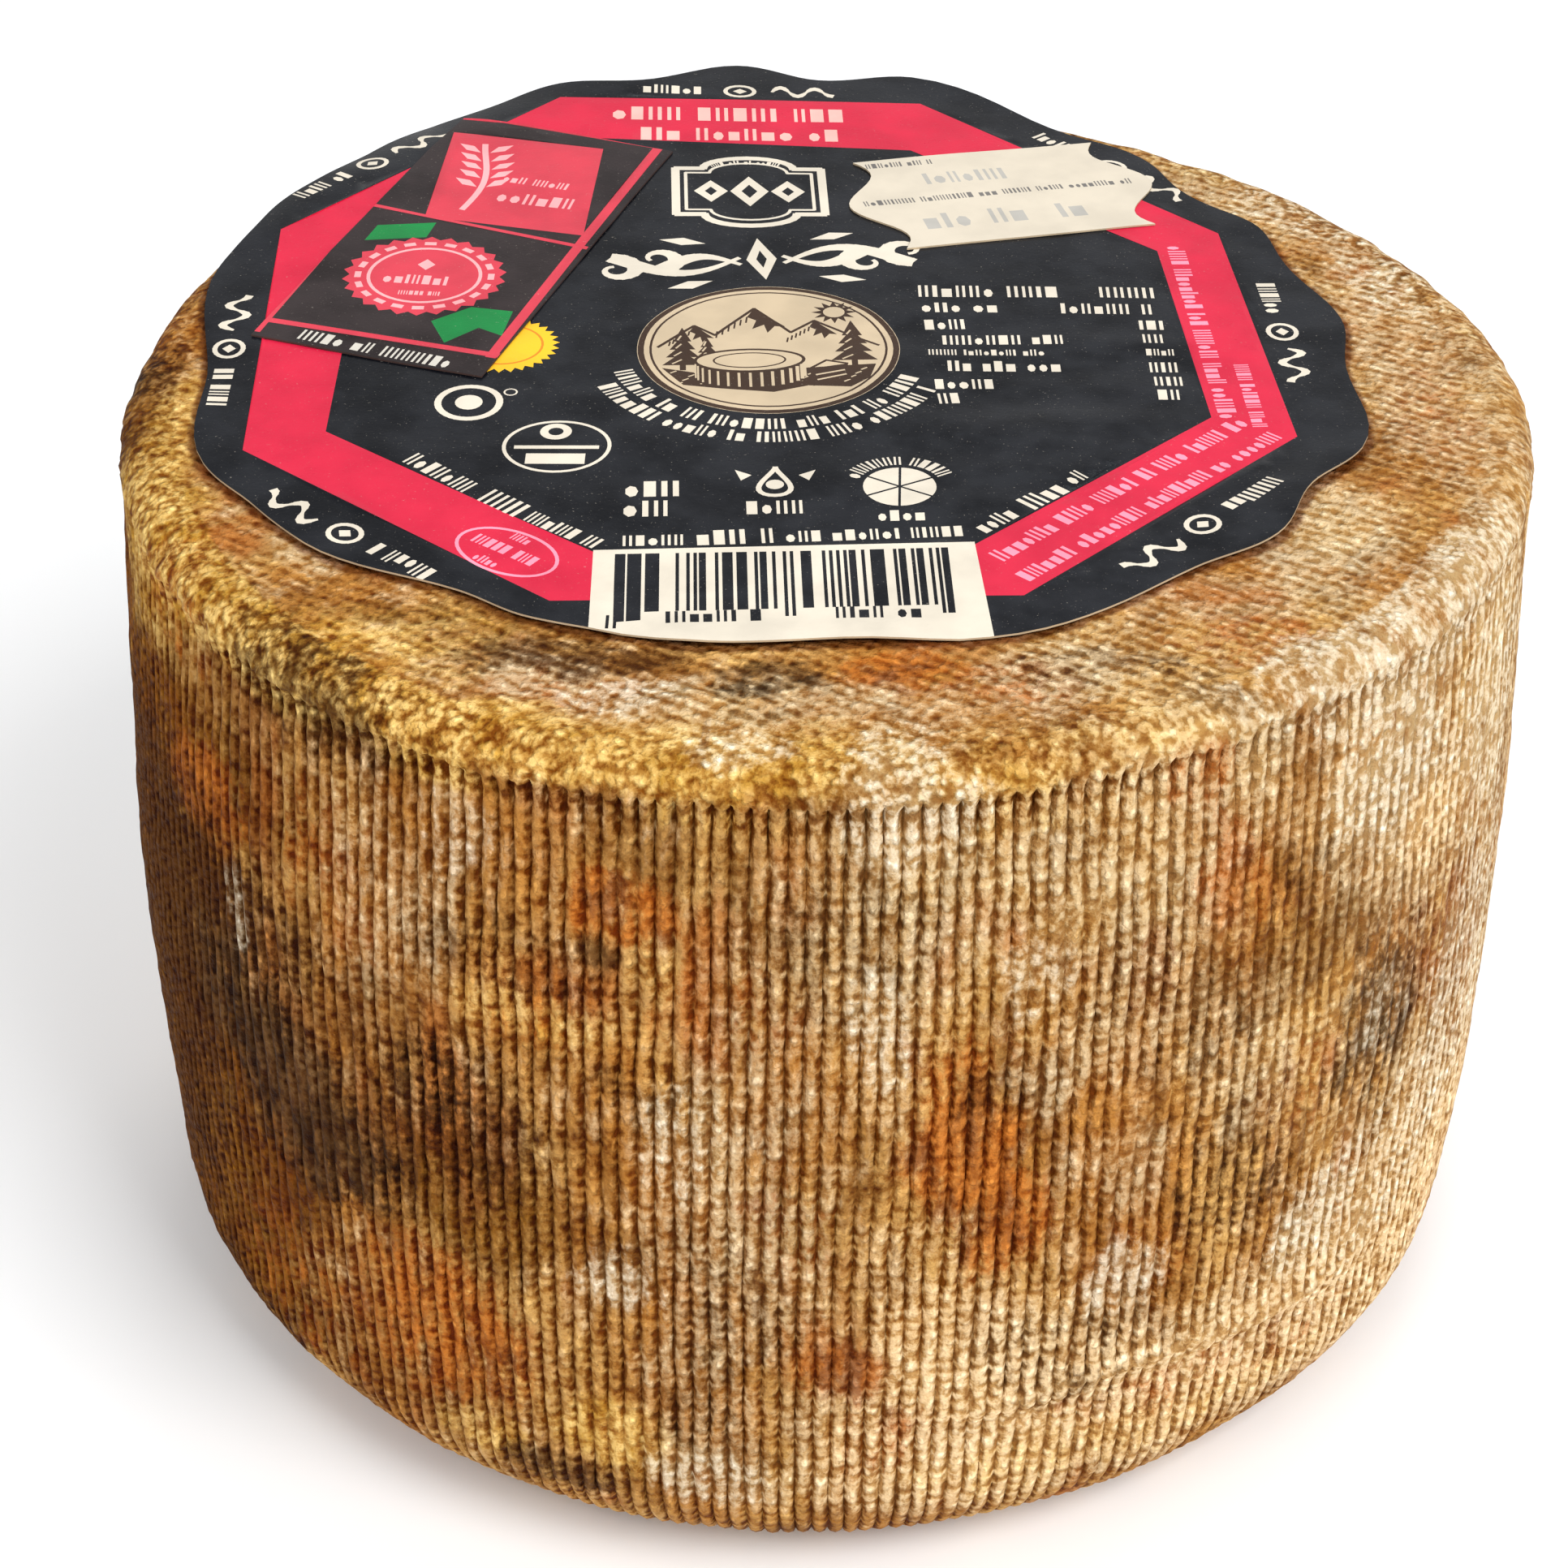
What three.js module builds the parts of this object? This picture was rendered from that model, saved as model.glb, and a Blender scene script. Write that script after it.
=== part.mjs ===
// A small wheel of hard ewe's milk cheese: a tall drum with a ribbed rind, a scalloped paper
// label on its top face, and two stickers on the label.
//
// Millimetres, +Z up. The origin is the centre of the flat base, and -Y is the side with the
// label's lower edge. Run it with the npm package three.

import * as THREE from 'three';

// Driving dimensions of the drum
const HEIGHT = 80.2;
const TOP_RADIUS = 55.5;
const FOOT_FLARE = 1.5; // how much wider the drum has settled at its foot
const BELLY = 1.1; // how far the side swells between foot and rim
const OVAL = 0.012; // the plan is this share longer along X, and shorter along Y
const RIM_ROUND = 3.0;
const FOOT_ROUND = 12.3;

// The top face leans and twists a little, as pressed by hand
const LEAN = 0.007; // rise per millimetre along X and along Y
const TWIST = 0.000535; // fall per square millimetre of x times y

// Ribs left on the side by the mould, each a crest with a groove beside it
const RIB_COUNT = 264;
const RIB_DEPTH = 0.45;

// The paper label, a sheet with a wavy edge. Each pair is an angle in degrees and the edge's
// distance there from the label's centre, at the tip of a lobe or at the dip after it.
const LABEL = { x: -4.2, y: 9.3, turn: 0 };
const LABEL_EDGE = [
  [0, 46.8], [15, 44.8], [24, 45.6], [35, 44.1], [47, 46.4], [55, 45.8], [76, 50.4], [86, 47.8],
  [95, 50.6], [106, 47.8], [116, 49.9], [125, 48.6], [132, 48.8], [146, 47.6], [155, 47.9], [162, 47.5],
  [171, 47.9], [190, 46.5], [208, 49.7], [217, 48.9], [225, 48.9], [241, 46.8], [249, 47.7], [253, 47.7],
  [265, 48.6], [274, 48.4], [293, 50.5], [309, 49.4], [318, 50.6], [327, 48.9], [335, 50.2], [353, 46.5],
];

// The oblong sticker, and the date sticker with its wavy short ends
const SEAL = { x: -30.5, y: 22.9, turn: 1.25, length: 43.6, width: 20.4 };
const DATE = { x: 15.4, y: 33.5, turn: 0.26, length: 22.4, width: 17.3 };
const DATE_END = { mean: 0.9, swing: 1.8, waves: 1.35 };

const PAPER = 0.3; // thickness of each sheet
const PAPER_GAP = 0.3; // space under each sheet

// Points along each shape, and rows between its edges
const SMOOTH_COUNT = RIB_COUNT / 4; // points of a ring on a flat face
const FOOT_ROWS = 5;
const SIDE_ROWS = 3;
const POINTS_PER_WAVE = 3; // from a tip to a dip of the label's edge
const END_POINTS = 12;
const EDGE_POINTS = 6;
const SHEET_ROWS = 2;

// How far the top face stands above its nominal height at a point
function topRise(x, y) {
  return LEAN * (x + y) - TWIST * x * y;
}

// Triangles between two rings of points, which may differ in number. lower and upper are
// each ring's first index and its count; a ring of one point is the tip of a fan.
function band(lower, upper) {
  const faces = [];
  let [a, b] = [0, 0];
  while (a < lower.count || b < upper.count) {
    const here = lower.start + (a % lower.count);
    const above = upper.start + (b % upper.count);
    const lowerIsBehind = (a + 1) / lower.count <= (b + 1) / upper.count;
    if (b >= upper.count || (a < lower.count && lowerIsBehind)) {
      a += 1;
      if (lower.count > 1) faces.push(here, lower.start + (a % lower.count), above);
    } else {
      b += 1;
      if (upper.count > 1) faces.push(here, upper.start + (b % upper.count), above);
    }
  }
  return faces;
}

// A closed solid through rings of points. They start and end with a single point, and run
// anticlockwise seen from above, from the middle of the underside out and over to the top.
function solidFromRings(rings) {
  const spans = [];
  let start = 0;
  for (const ring of rings) {
    spans.push({ start, count: ring.length });
    start += ring.length;
  }
  const faces = spans.slice(1).flatMap((span, i) => band(spans[i], span));
  const geometry = new THREE.BufferGeometry().setFromPoints(rings.flat());
  geometry.setIndex(faces);
  geometry.computeVertexNormals();
  return geometry;
}

// One ring of the drum. Every second point is a groove, as deep as grooves says.
function drumRing(radius, z, count, grooves = 0) {
  return Array.from({ length: count }, (_, i) => {
    const angle = (i / count) * 2 * Math.PI;
    const reach = radius * (1 + OVAL * Math.cos(2 * angle)) - (i % 2) * grooves;
    const x = reach * Math.cos(angle);
    const y = reach * Math.sin(angle);
    return new THREE.Vector3(x, y, z + (z / HEIGHT) * topRise(x, y));
  });
}

// The flat base and the wide round edge above it, on which the grooves set in
function footRings() {
  const flatRadius = TOP_RADIUS + FOOT_FLARE - FOOT_ROUND;
  const rings = [
    drumRing(0, 0, 1),
    drumRing(flatRadius / 2, 0, SMOOTH_COUNT),
    drumRing(flatRadius, 0, RIB_COUNT),
  ];
  for (let row = 1; row <= FOOT_ROWS; row++) {
    const angle = (row / FOOT_ROWS) * (Math.PI / 2);
    const grooves = Math.min(1, row / 2) * RIB_DEPTH;
    const radius = flatRadius + FOOT_ROUND * Math.sin(angle);
    rings.push(drumRing(radius, FOOT_ROUND * (1 - Math.cos(angle)), 2 * RIB_COUNT, grooves));
  }
  return rings;
}

// The side, which swells a little on its way from the foot to the rim
function sideRings() {
  const rise = HEIGHT - RIM_ROUND - FOOT_ROUND;
  const rings = [];
  for (let row = 1; row <= SIDE_ROWS; row++) {
    const share = row / SIDE_ROWS;
    const radius = TOP_RADIUS + FOOT_FLARE * (1 - share) + 4 * BELLY * share * (1 - share);
    rings.push(drumRing(radius, FOOT_ROUND + share * rise, 2 * RIB_COUNT, RIB_DEPTH));
  }
  return rings;
}

// The narrow round rim and the top face inside it
function topRings() {
  const flatRadius = TOP_RADIUS - RIM_ROUND;
  const halfway = RIM_ROUND * Math.SQRT1_2;
  return [
    drumRing(flatRadius + halfway, HEIGHT - RIM_ROUND + halfway, RIB_COUNT),
    drumRing(flatRadius, HEIGHT, RIB_COUNT / 2),
    drumRing((2 / 3) * flatRadius, HEIGHT, SMOOTH_COUNT),
    drumRing((1 / 3) * flatRadius, HEIGHT, SMOOTH_COUNT / 2),
    drumRing(0, HEIGHT, 1),
  ];
}

// A thin sheet lying on the top face at a height of lift above it. The outline is given
// about the sheet's own centre, anticlockwise.
function sheet(outline, { x, y, turn }, lift) {
  const ringAt = (share, height) => {
    const points = share === 0 ? [new THREE.Vector2()] : outline;
    return points.map((point) => {
      const spot = point.clone().multiplyScalar(share).rotateAround(new THREE.Vector2(), turn);
      const [px, py] = [x + spot.x, y + spot.y];
      return new THREE.Vector3(px, py, HEIGHT + topRise(px, py) + height);
    });
  };
  const shares = Array.from({ length: SHEET_ROWS + 1 }, (_, row) => row / SHEET_ROWS);
  const underside = shares.map((share) => ringAt(share, lift));
  const upperSide = shares.toReversed().map((share) => ringAt(share, lift + PAPER));
  return solidFromRings([...underside, ...upperSide]);
}

// The label's edge, eased in a smooth wave from each tip to the next dip and back
function labelOutline() {
  return LABEL_EDGE.flatMap(([angle, reach], i) => {
    const last = i + 1 === LABEL_EDGE.length;
    const [nextAngle, nextReach] = last ? [360, LABEL_EDGE[0][1]] : LABEL_EDGE[i + 1];
    return Array.from({ length: POINTS_PER_WAVE }, (_, k) => {
      const share = k / POINTS_PER_WAVE;
      const eased = (1 - Math.cos(Math.PI * share)) / 2;
      const turn = THREE.MathUtils.degToRad(angle + share * (nextAngle - angle));
      const spot = reach + eased * (nextReach - reach);
      return new THREE.Vector2(spot * Math.cos(turn), spot * Math.sin(turn));
    });
  });
}

// A rectangle whose short ends stand out by endShape, from -1 at one corner to 1 at the other
function stickerOutline({ length, width }, endShape) {
  const points = [];
  for (const side of [1, -1]) {
    for (let i = 0; i < END_POINTS; i++) {
      const across = (2 * i) / END_POINTS - 1;
      const reach = length / 2 + endShape(across);
      points.push(new THREE.Vector2(side * reach, (side * across * width) / 2));
    }
    for (let i = 0; i < EDGE_POINTS; i++) {
      const along = 1 - (2 * i) / EDGE_POINTS;
      points.push(new THREE.Vector2((side * along * length) / 2, (side * width) / 2));
    }
  }
  return points;
}

// A rounded bulge in the middle of the end, with a dip before each corner
function dateEnd(across) {
  return DATE_END.mean + DATE_END.swing * Math.cos(DATE_END.waves * Math.PI * across);
}

function part(name, geometry, color, roughness) {
  const material = new THREE.MeshStandardMaterial({ color, roughness, metalness: 0 });
  const mesh = new THREE.Mesh(geometry, material);
  mesh.name = name;
  return mesh;
}

const cheese = solidFromRings([...footRings(), ...sideRings(), ...topRings()]);
const label = sheet(labelOutline(), LABEL, PAPER_GAP);

const stickerLift = PAPER_GAP + PAPER + PAPER_GAP;
const seal = sheet(stickerOutline(SEAL, () => 0), SEAL, stickerLift);
const date = sheet(stickerOutline(DATE, dateEnd), DATE, stickerLift);

const object = new THREE.Group();
object.add(
  part('cheese_wheel', cheese, 0xb08040, 0.85),
  part('paper_label', label, 0x1c2029, 0.45),
  part('seal_sticker', seal, 0x26211f, 0.4),
  part('date_sticker', date, 0xe6dfc8, 0.6),
);

export default object;
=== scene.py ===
import math
import random

import bpy
import numpy as np
from mathutils import Matrix, Vector, noise
from mathutils.geometry import delaunay_2d_cdt


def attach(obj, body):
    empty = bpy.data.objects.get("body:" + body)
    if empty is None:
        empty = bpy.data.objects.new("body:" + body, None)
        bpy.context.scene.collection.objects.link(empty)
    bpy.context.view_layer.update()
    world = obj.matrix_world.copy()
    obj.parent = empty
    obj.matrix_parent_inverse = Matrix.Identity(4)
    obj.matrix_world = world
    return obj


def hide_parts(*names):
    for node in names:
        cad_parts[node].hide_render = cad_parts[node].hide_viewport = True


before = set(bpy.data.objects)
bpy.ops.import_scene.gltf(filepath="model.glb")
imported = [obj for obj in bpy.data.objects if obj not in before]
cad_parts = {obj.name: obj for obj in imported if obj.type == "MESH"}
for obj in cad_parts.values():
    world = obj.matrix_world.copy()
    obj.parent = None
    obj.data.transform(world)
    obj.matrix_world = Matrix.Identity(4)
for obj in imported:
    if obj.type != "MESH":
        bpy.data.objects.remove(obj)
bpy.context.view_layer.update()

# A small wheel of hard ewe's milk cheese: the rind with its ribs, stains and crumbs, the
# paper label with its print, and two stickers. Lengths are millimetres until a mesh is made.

MM = 0.001
TAU = 2 * math.pi

# The drum, as the frame has it
HEIGHT = 80.2
TOP_RADIUS = 55.5
FOOT_FLARE = 1.5
BELLY = 1.1
OVAL = 0.012
RIM_ROUND = 3.0
FOOT_ROUND = 12.3
LEAN = 0.007
TWIST = 0.000535
RIB_COUNT = 264
RIB_DEPTH = 0.45

# Rows of points up the side, and columns in each rib as shares of its width
FOOT_ROWS = 13
SIDE_ROWS = 50
RIM_ROWS = 8
RIB_COLUMNS = (0.0, 0.16, 0.5, 0.84)
GROOVE_AT_COLUMN = (1.0, 0.32, 0.0, 0.32)

# The ribs' depth: its share where they are new, what wear and crumbs take from it, and what
# it gains in the heights where the ribs end
RIBS_END = 77.0
FRESH_DEPTH = 1.3
WEAR_LOSS = 0.6
SHALLOW_LOSS = 0.55
END_GAIN = 0.9
END_HEIGHTS = (75.2, 78.2)

# The ledge in the side: its height, depth and ridge, and in degrees its middle and half length
LEDGE_HEIGHT = 20.0
RIDGE_HEIGHT = 20.6
LEDGE_DEPTH = 0.6
LEDGE_RIDGE = 0.3
LEDGE_MIDDLE = 300
LEDGE_HALF = 22

# Spacing of the points on the base, on the open top face, on the top face under the label,
# and on the sheets
BASE_STEP = 3.0
TOP_STEP = 0.46
HIDDEN_STEP = 2.6
SHEET_STEP = 1.25

# The label's edge: an angle in degrees and the distance from its centre, tip by dip
LABEL_CENTRE = (-4.2, 9.3)
LABEL_EDGE = (
    (0, 46.8), (15, 44.8), (24, 45.6), (35, 44.1), (47, 46.4), (55, 45.8), (76, 50.4), (86, 47.8),
    (95, 50.6), (106, 47.8), (116, 49.9), (125, 48.6), (132, 48.8), (146, 47.6), (155, 47.9),
    (162, 47.5), (171, 47.9), (190, 46.5), (208, 49.7), (217, 48.9), (225, 48.9), (241, 46.8),
    (249, 47.7), (253, 47.7), (265, 48.6), (274, 48.4), (293, 50.5), (309, 49.4), (318, 50.6),
    (327, 48.9), (335, 50.2), (353, 46.5),
)
LABEL_TURN = 0.046

# The stickers: centre, turn, length and width
SEAL = {"x": -30.5, "y": 22.9, "turn": 1.25, "length": 43.6, "width": 20.4}
DATE = {"x": 15.4, "y": 33.5, "turn": 0.26, "length": 22.4, "width": 17.3}
DATE_END = {"mean": 0.9, "swing": 1.8, "waves": 1.35}

# Thickness of each sheet, and how far its face stands above what it lies on
PAPER = 0.16
LABEL_LIFT = 0.42
STICKER_LIFT = 0.2

LIGHT_DISTANCE = 1.2
LIGHT_AIM = (0, 0, 0.05)
FLOOR_HALF = 3.0

# The photo's camera, about the middle of the top face
CAMERA_AZIMUTH = 0.0032
CAMERA_ELEVATION = 0.6185
CAMERA_ROLL = 0.0131
CAMERA_DISTANCE = 269.2
CAMERA_RIGHT = -3.06
CAMERA_UP = -32.51
CAMERA_LENS = 76.92


def smooth(value):
    """Eases from 0 to 1 as value does, and holds outside."""
    value = np.clip(value, 0, 1)
    return value * value * (3 - 2 * value)


def top_rise(x, y):
    """How far the leaning, twisted top face stands above its nominal height."""
    return LEAN * (x + y) - TWIST * x * y


def field(points, size, seed, octaves=2):
    """Smooth noise of about -1 to 1 at each point, in lumps of about that size."""
    shift = Vector((17.3 * seed, -9.1 * seed, 5.7 * seed))
    return np.array([
        noise.fractal(Vector(point) / size + shift, 1.0, 2.0, octaves) for point in points
    ])


def new_object(name, mesh):
    piece = bpy.data.objects.new(name, mesh)
    bpy.context.scene.collection.objects.link(piece)
    return piece


# Rind

# Stains on the side by kind, with painted shade and light among them: the darkening glaze and the broad
# umber at the left and under the lip are partly painted shade, and the broad pale and cream on the right are
# partly painted light. Each: angle in degrees (-90 is the front), height, half width and half height in mm,
# and strength
SIDE_STAINS_AND_SHADING = {
    # The broad patches on the right, such as -25, 45 and -60, 13, are partly painted light
    "pale": (
        (-25, 45, 22, 42, 0.5), (-120, 62, 3, 6, 0.45), (-66, 60, 6, 9, 0.5), (-56, 50, 5, 8, 0.5),
        (-73, 53, 3, 4, 0.5), (-68, 42, 5, 5, 0.4), (-94, 33, 4, 8, 0.4), (-97, 14, 6, 4, 0.5),
        (-61, 76, 6, 4, 0.5), (-78, 74, 5, 5, 0.4), (-50, 20, 14, 8, 0.6), (-72, 23, 10, 7, 0.6),
        (-66, 73, 12, 9, 0.5), (-85, 67, 7, 10, 0.5), (-41, 62, 8, 7, 0.5), (-33, 72, 16, 10, 0.5),
        (-60, 13, 26, 5, 0.6), (-94, 55, 5, 16, 0.35), (-127, 62, 4, 12, 0.4), (-99, 42, 5, 9, 0.4),
        (-100, 24, 4, 8, 0.35), (-179, 14, 6, 5, 0.5),
    ),
    # The broad patches low on the right, about -80 to -30 and below 30 mm, are partly painted light
    "cream": (
        (-76, 18, 15, 8, 0.75), (-62, 16, 16, 7, 0.7), (-36, 19, 20, 12, 0.7), (-78, 29, 7, 6, 0.5),
        (-28, 30, 10, 12, 0.5), (-24, 68, 12, 12, 0.5), (-83, 13, 6, 5, 0.5), (-84, 36, 5, 6, 0.35),
        (-60, 20.6, 20, 0.9, 0.8), (-37, 61, 5, 4, 0.5), (-176, 58, 4, 5, 0.4),
    ),
    # A darkening glaze; its broad patches at the left and its bands at the rim and under the lip are partly
    # painted shade
    "soot_and_shade": (
        (-166, 40, 24, 46, 0.9), (-145, 62, 9, 9, 0.45), (-146, 28, 12, 15, 0.95),
        (-139, 34, 9, 8, 0.7), (-117, 37, 9, 7, 0.7), (-127, 48, 9, 10, 0.5), (-105, 36, 3, 3, 0.45),
        (-146, 13, 16, 6, 0.7), (-136, 70, 8, 9, 0.4), (-147, 58, 6, 7, 0.5), (-93, 65, 5, 7, 0.4),
        (-158, 78, 20, 4, 0.55), (-135, 76, 26, 1.4, 0.5), (-31, 44, 9, 11, 0.35),
        (-52, 57, 13, 4.5, 0.5), (-16, 66, 6, 12, 0.4), (-158, 69, 12, 8, 0.2),
        (-122, 20, 10, 10, 0.35), (-192, 34, 12, 14, 0.5),
    ),
    "rust": (
        (-52, 15, 14, 2, 0.3), (-146, 62, 6, 4.5, 0.8), (-105, 67.5, 3.6, 3, 0.85),
        (-109, 60, 3, 2.5, 0.65), (-79, 47, 3.6, 6, 0.95), (-76, 40, 3.6, 5, 0.8), (-80, 55, 5, 4, 0.4),
        (-88, 25.5, 3.8, 3.2, 0.85), (-85, 18, 4, 5, 0.35), (-121, 23, 8, 8, 0.7),
        (-138, 17, 10, 9, 0.3), (-59, 68, 3.6, 4, 0.45), (-56, 62, 4, 6, 0.25), (-66, 61, 4, 5, 0.3),
        (-31, 48, 8, 8, 0.4), (-24, 38, 5, 8, 0.35), (-97, 60, 6, 6, 0.3), (-112, 58, 5, 4, 0.45),
        (-64, 33, 6, 5, 0.3), (-50, 44, 5, 5, 0.3), (-150, 75, 9, 4, 0.35), (-130, 63, 5, 6, 0.4),
        (-62, 76, 3, 3, 0.45), (-93, 40, 3, 8, 0.25), (-60, 18, 14, 1.6, 0.35),
    ),
    # The broad patches at the left, about -165 to -130, are partly painted shade, and the band at -132, 76
    # is painted shade under the lip
    "umber": (
        (-41, 52, 6, 4, 0.35), (-66, 61, 6, 5, 0.3), (-106, 63.4, 1.5, 1.3, 0.9),
        (-158, 46, 17, 17, 0.95), (-140, 54, 9, 5, 0.6), (-163, 24, 14, 16, 0.75),
        (-132, 76, 10, 4, 0.6), (-168, 70, 8, 8, 0.3), (-187, 46, 10, 8, 0.6), (-181, 62, 6, 5, 0.5),
        (-184, 22, 9, 7, 0.4), (-60, 52, 6, 3, 0.3), (-51, 65, 5, 3.6, 0.25), (-117, 45, 6, 8, 0.55),
        (-103, 52, 5, 4, 0.3), (-114, 61, 9, 4, 0.35), (-77, 52, 3, 3, 0.45), (-57, 40, 7, 9, 0.3),
        (-96, 31, 5, 8, 0.3), (-70, 24, 8, 6, 0.3), (-88, 66, 7, 8, 0.3), (-111, 10, 5, 2.5, 0.8),
        (-30, 48, 8, 12, 0.15), (-150, 8, 11, 4, 0.7),
    ),
    "mould": (
        (-134, 38, 10, 7, 0.95), (-142, 45, 8, 6, 0.7), (-41, 45, 5.5, 6.5, 0.6), (-56, 36, 6, 7, 0.28),
        (-100, 20, 3.5, 4, 0.3), (-120, 48, 5, 5, 0.4), (-50, 63, 5, 3, 0.2),
    ),
    "bloom": (
        (-42, 71, 6, 8, 0.7), (-25, 68, 9, 10, 0.65), (-84, 77, 5, 4, 0.7), (-86, 59, 2.2, 5, 0.5),
        (-66, 31, 3.6, 4, 0.6), (-105, 33, 3.4, 3, 0.55), (-75, 62, 2.4, 4, 0.45),
        (-141, 54, 1.4, 4, 0.4), (-38, 28, 10, 9, 0.4), (-98, 13, 5, 3, 0.5), (-100, 47, 3.5, 6, 0.35),
        (-24, 42, 9, 16, 0.5), (-47, 29, 4, 5, 0.5), (-118, 71, 4, 4, 0.25), (-41, 46, 3.4, 4, 0.3),
        (-38, 79.5, 24, 2.5, 0.35),
    ),
    "yellow": (
        (-112, 57, 6, 2.4, 0.6), (-106, 16, 4.5, 4, 0.9), (-117, 12, 5, 3, 0.5), (-64, 13, 22, 4, 0.35),
        (-30, 72, 9, 5, 0.4), (-145, 78, 22, 3.5, 0.8), (-110, 79, 22, 2.2, 0.8),
        (-78, 79.5, 18, 1.5, 0.35), (-158, 74, 10, 6, 0.5),
    ),
}

TOP_STAINS_AND_SHADING = {
    "pale": (
        (49, 8, 8, 24, 0.5), (40, 38, 14, 12, 0.5), (32, -36, 18, 9, 0.25), (-5, -47, 16, 4, 0.5),
        (-20, -42.5, 5, 2.4, 0.7), (17, -43, 6, 3.4, 0.7), (36, -22, 5, 9, 0.7), (29, -47, 6, 3, 0.4),
        (-38, -26, 3, 4, 0.5),
    ),
    "soot_and_shade": (
        (-24, -36, 10, 3, 0.5), (8, -53.5, 12, 1.4, 0.2),
    ),
    "rust": (
        (5, -42, 4, 2.6, 0.8), (30, -38, 6, 3, 0.5), (12, -44, 6, 3, 0.4), (-17, -44, 5, 3, 0.35),
        (-44, -22, 3, 4, 0.25), (48, -4, 4, 8, 0.3),
    ),
    "umber": (
        (-18, -40, 10, 2.4, 0.75), (-30, -35, 6, 2, 0.3), (20, -42, 8, 2.5, 0.4),
    ),
    "mould": (
        (-3, -43.5, 4.5, 3, 0.65), (26, -44, 5, 3, 0.25),
    ),
    "bloom": (
        (-5, -51, 5, 2, 0.5), (36, -41, 6, 3, 0.45), (-14, -45, 4, 2, 0.35), (48, 20, 4, 9, 0.35),
        (46, -28, 4, 5, 0.35), (44, 36, 8, 8, 0.35),
    ),
    "yellow": (
        (-32, -38, 12, 5, 0.35), (-38, -39, 7, 2.6, 0.5), (-26, -47, 8, 2.6, 0.75),
        (2, -53, 14, 1.4, 0.5), (-49, -22, 2.6, 10, 0.45), (45, -20, 5, 8, 0.2), (49, 22, 4, 12, 0.15),
        (35, 43, 12, 5, 0.25), (-51, -8, 3, 9, 0.5), (26, -48, 8, 2.2, 0.25),
    ),
}
STAIN_AND_SHADING_KINDS = tuple(SIDE_STAINS_AND_SHADING)
STAIN_WARP = 2.2  # how far a stain's outline wanders, in mm
HIDDEN_STAINS = 90  # stains strewn over the side that the photo doesn't show


def side_stains_and_shading(kind):
    """The stains of one kind on the side, with the painted shade and light among them, or the worn patches
    under the crumbliest stains.
    """
    if kind == "worn":
        crumbly = SIDE_STAINS_AND_SHADING["mould"] + SIDE_STAINS_AND_SHADING["yellow"]
        return [(*place, 0.7) for *place, strength in crumbly if strength > 0.8]
    stains = list(SIDE_STAINS_AND_SHADING[kind])
    draw = random.Random(7)
    for _ in range(HIDDEN_STAINS):
        drawn = draw.choice(STAIN_AND_SHADING_KINDS)
        size = draw.uniform(2, 9)
        strength = draw.uniform(0.3, 0.9) * min(1, 4 / size)
        place = draw.uniform(5, 180), draw.uniform(8, 78), size, size * draw.uniform(0.5, 1.5)
        if drawn == kind:
            stains.append((*place, strength))
    return stains


def stain_or_shading_mask(points, kind):
    """How strongly each point is stained, or darkened and lightened as painted shade and light, from 0 to 1.
    The points have any shape by xyz.
    """
    flat = points.reshape(-1, 3)
    x, y, z = flat.T
    warp_x, warp_y = STAIN_WARP * field(flat, 7, 11), STAIN_WARP * field(flat, 7, 12)
    angle = np.arctan2(y, x)
    on_side = np.hypot(x, y) > TOP_RADIUS - 1.2 * RIM_ROUND
    spots = []
    for degrees, height, half_width, half_height, strength in side_stains_and_shading(kind):
        off = (angle - math.radians(degrees) + TAU / 2) % TAU - TAU / 2
        bend = min(1, half_height / 5)
        across = (off * TOP_RADIUS + bend * warp_x) / half_width
        up = (z - height + bend * warp_y) / half_height
        spots.append(strength * smooth(1.5 - np.hypot(across, up)) * on_side)
    for middle_x, middle_y, half_x, half_y, strength in TOP_STAINS_AND_SHADING.get(kind, ()):
        reach = np.hypot((x - middle_x + warp_x) / half_x, (y - middle_y + warp_y) / half_y)
        spots.append(strength * smooth(1.5 - reach) * (z > HEIGHT - 6))
    mask = np.zeros(len(flat))
    for spot in spots:
        mask = 1 - (1 - mask) * (1 - spot)
    return mask.reshape(points.shape[:-1])


def shallow_share(points):
    """How shallow the ribs are at each point, most in the upper right where crumbs fill them."""
    x, y, z = np.moveaxis(points, -1, 0)
    degrees = np.degrees(np.arctan2(y, x))
    return smooth((degrees + 74) / 26) * smooth((20 - degrees) / 24) * smooth((z - 22) / 26)


def rim_share(points):
    """How near each point is to the rim, from 0 to 1."""
    inward = TOP_RADIUS - np.hypot(points[:, 0], points[:, 1])
    return smooth((5.5 - inward) / 3) * smooth((points[:, 2] - RIBS_END + 0.8) / 1.2)


def lip(height):
    """How far each height belongs to the crumbly lip that stands out over the ribs' ends."""
    return smooth((height - RIBS_END + 0.6) / 1.5) * smooth((HEIGHT + 0.6 - height) / 2)


def ledge(angle, height):
    """A shallow step in the lower right of the side, left by the edge of the mould's cloth:
    how deep each point lies below it, and its share of the smooth ridge along it."""
    degrees = np.degrees(angle)
    across = smooth(1.4 - np.abs(degrees % 360 - LEDGE_MIDDLE) / LEDGE_HALF)
    slanting = height + 0.8 * np.sin(degrees / 7)
    ridge = across * np.exp(-((slanting - RIDGE_HEIGHT) / 0.9) ** 2)
    return LEDGE_DEPTH * across * smooth((LEDGE_HEIGHT - slanting) / 1.2) - LEDGE_RIDGE * ridge, ridge


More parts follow.
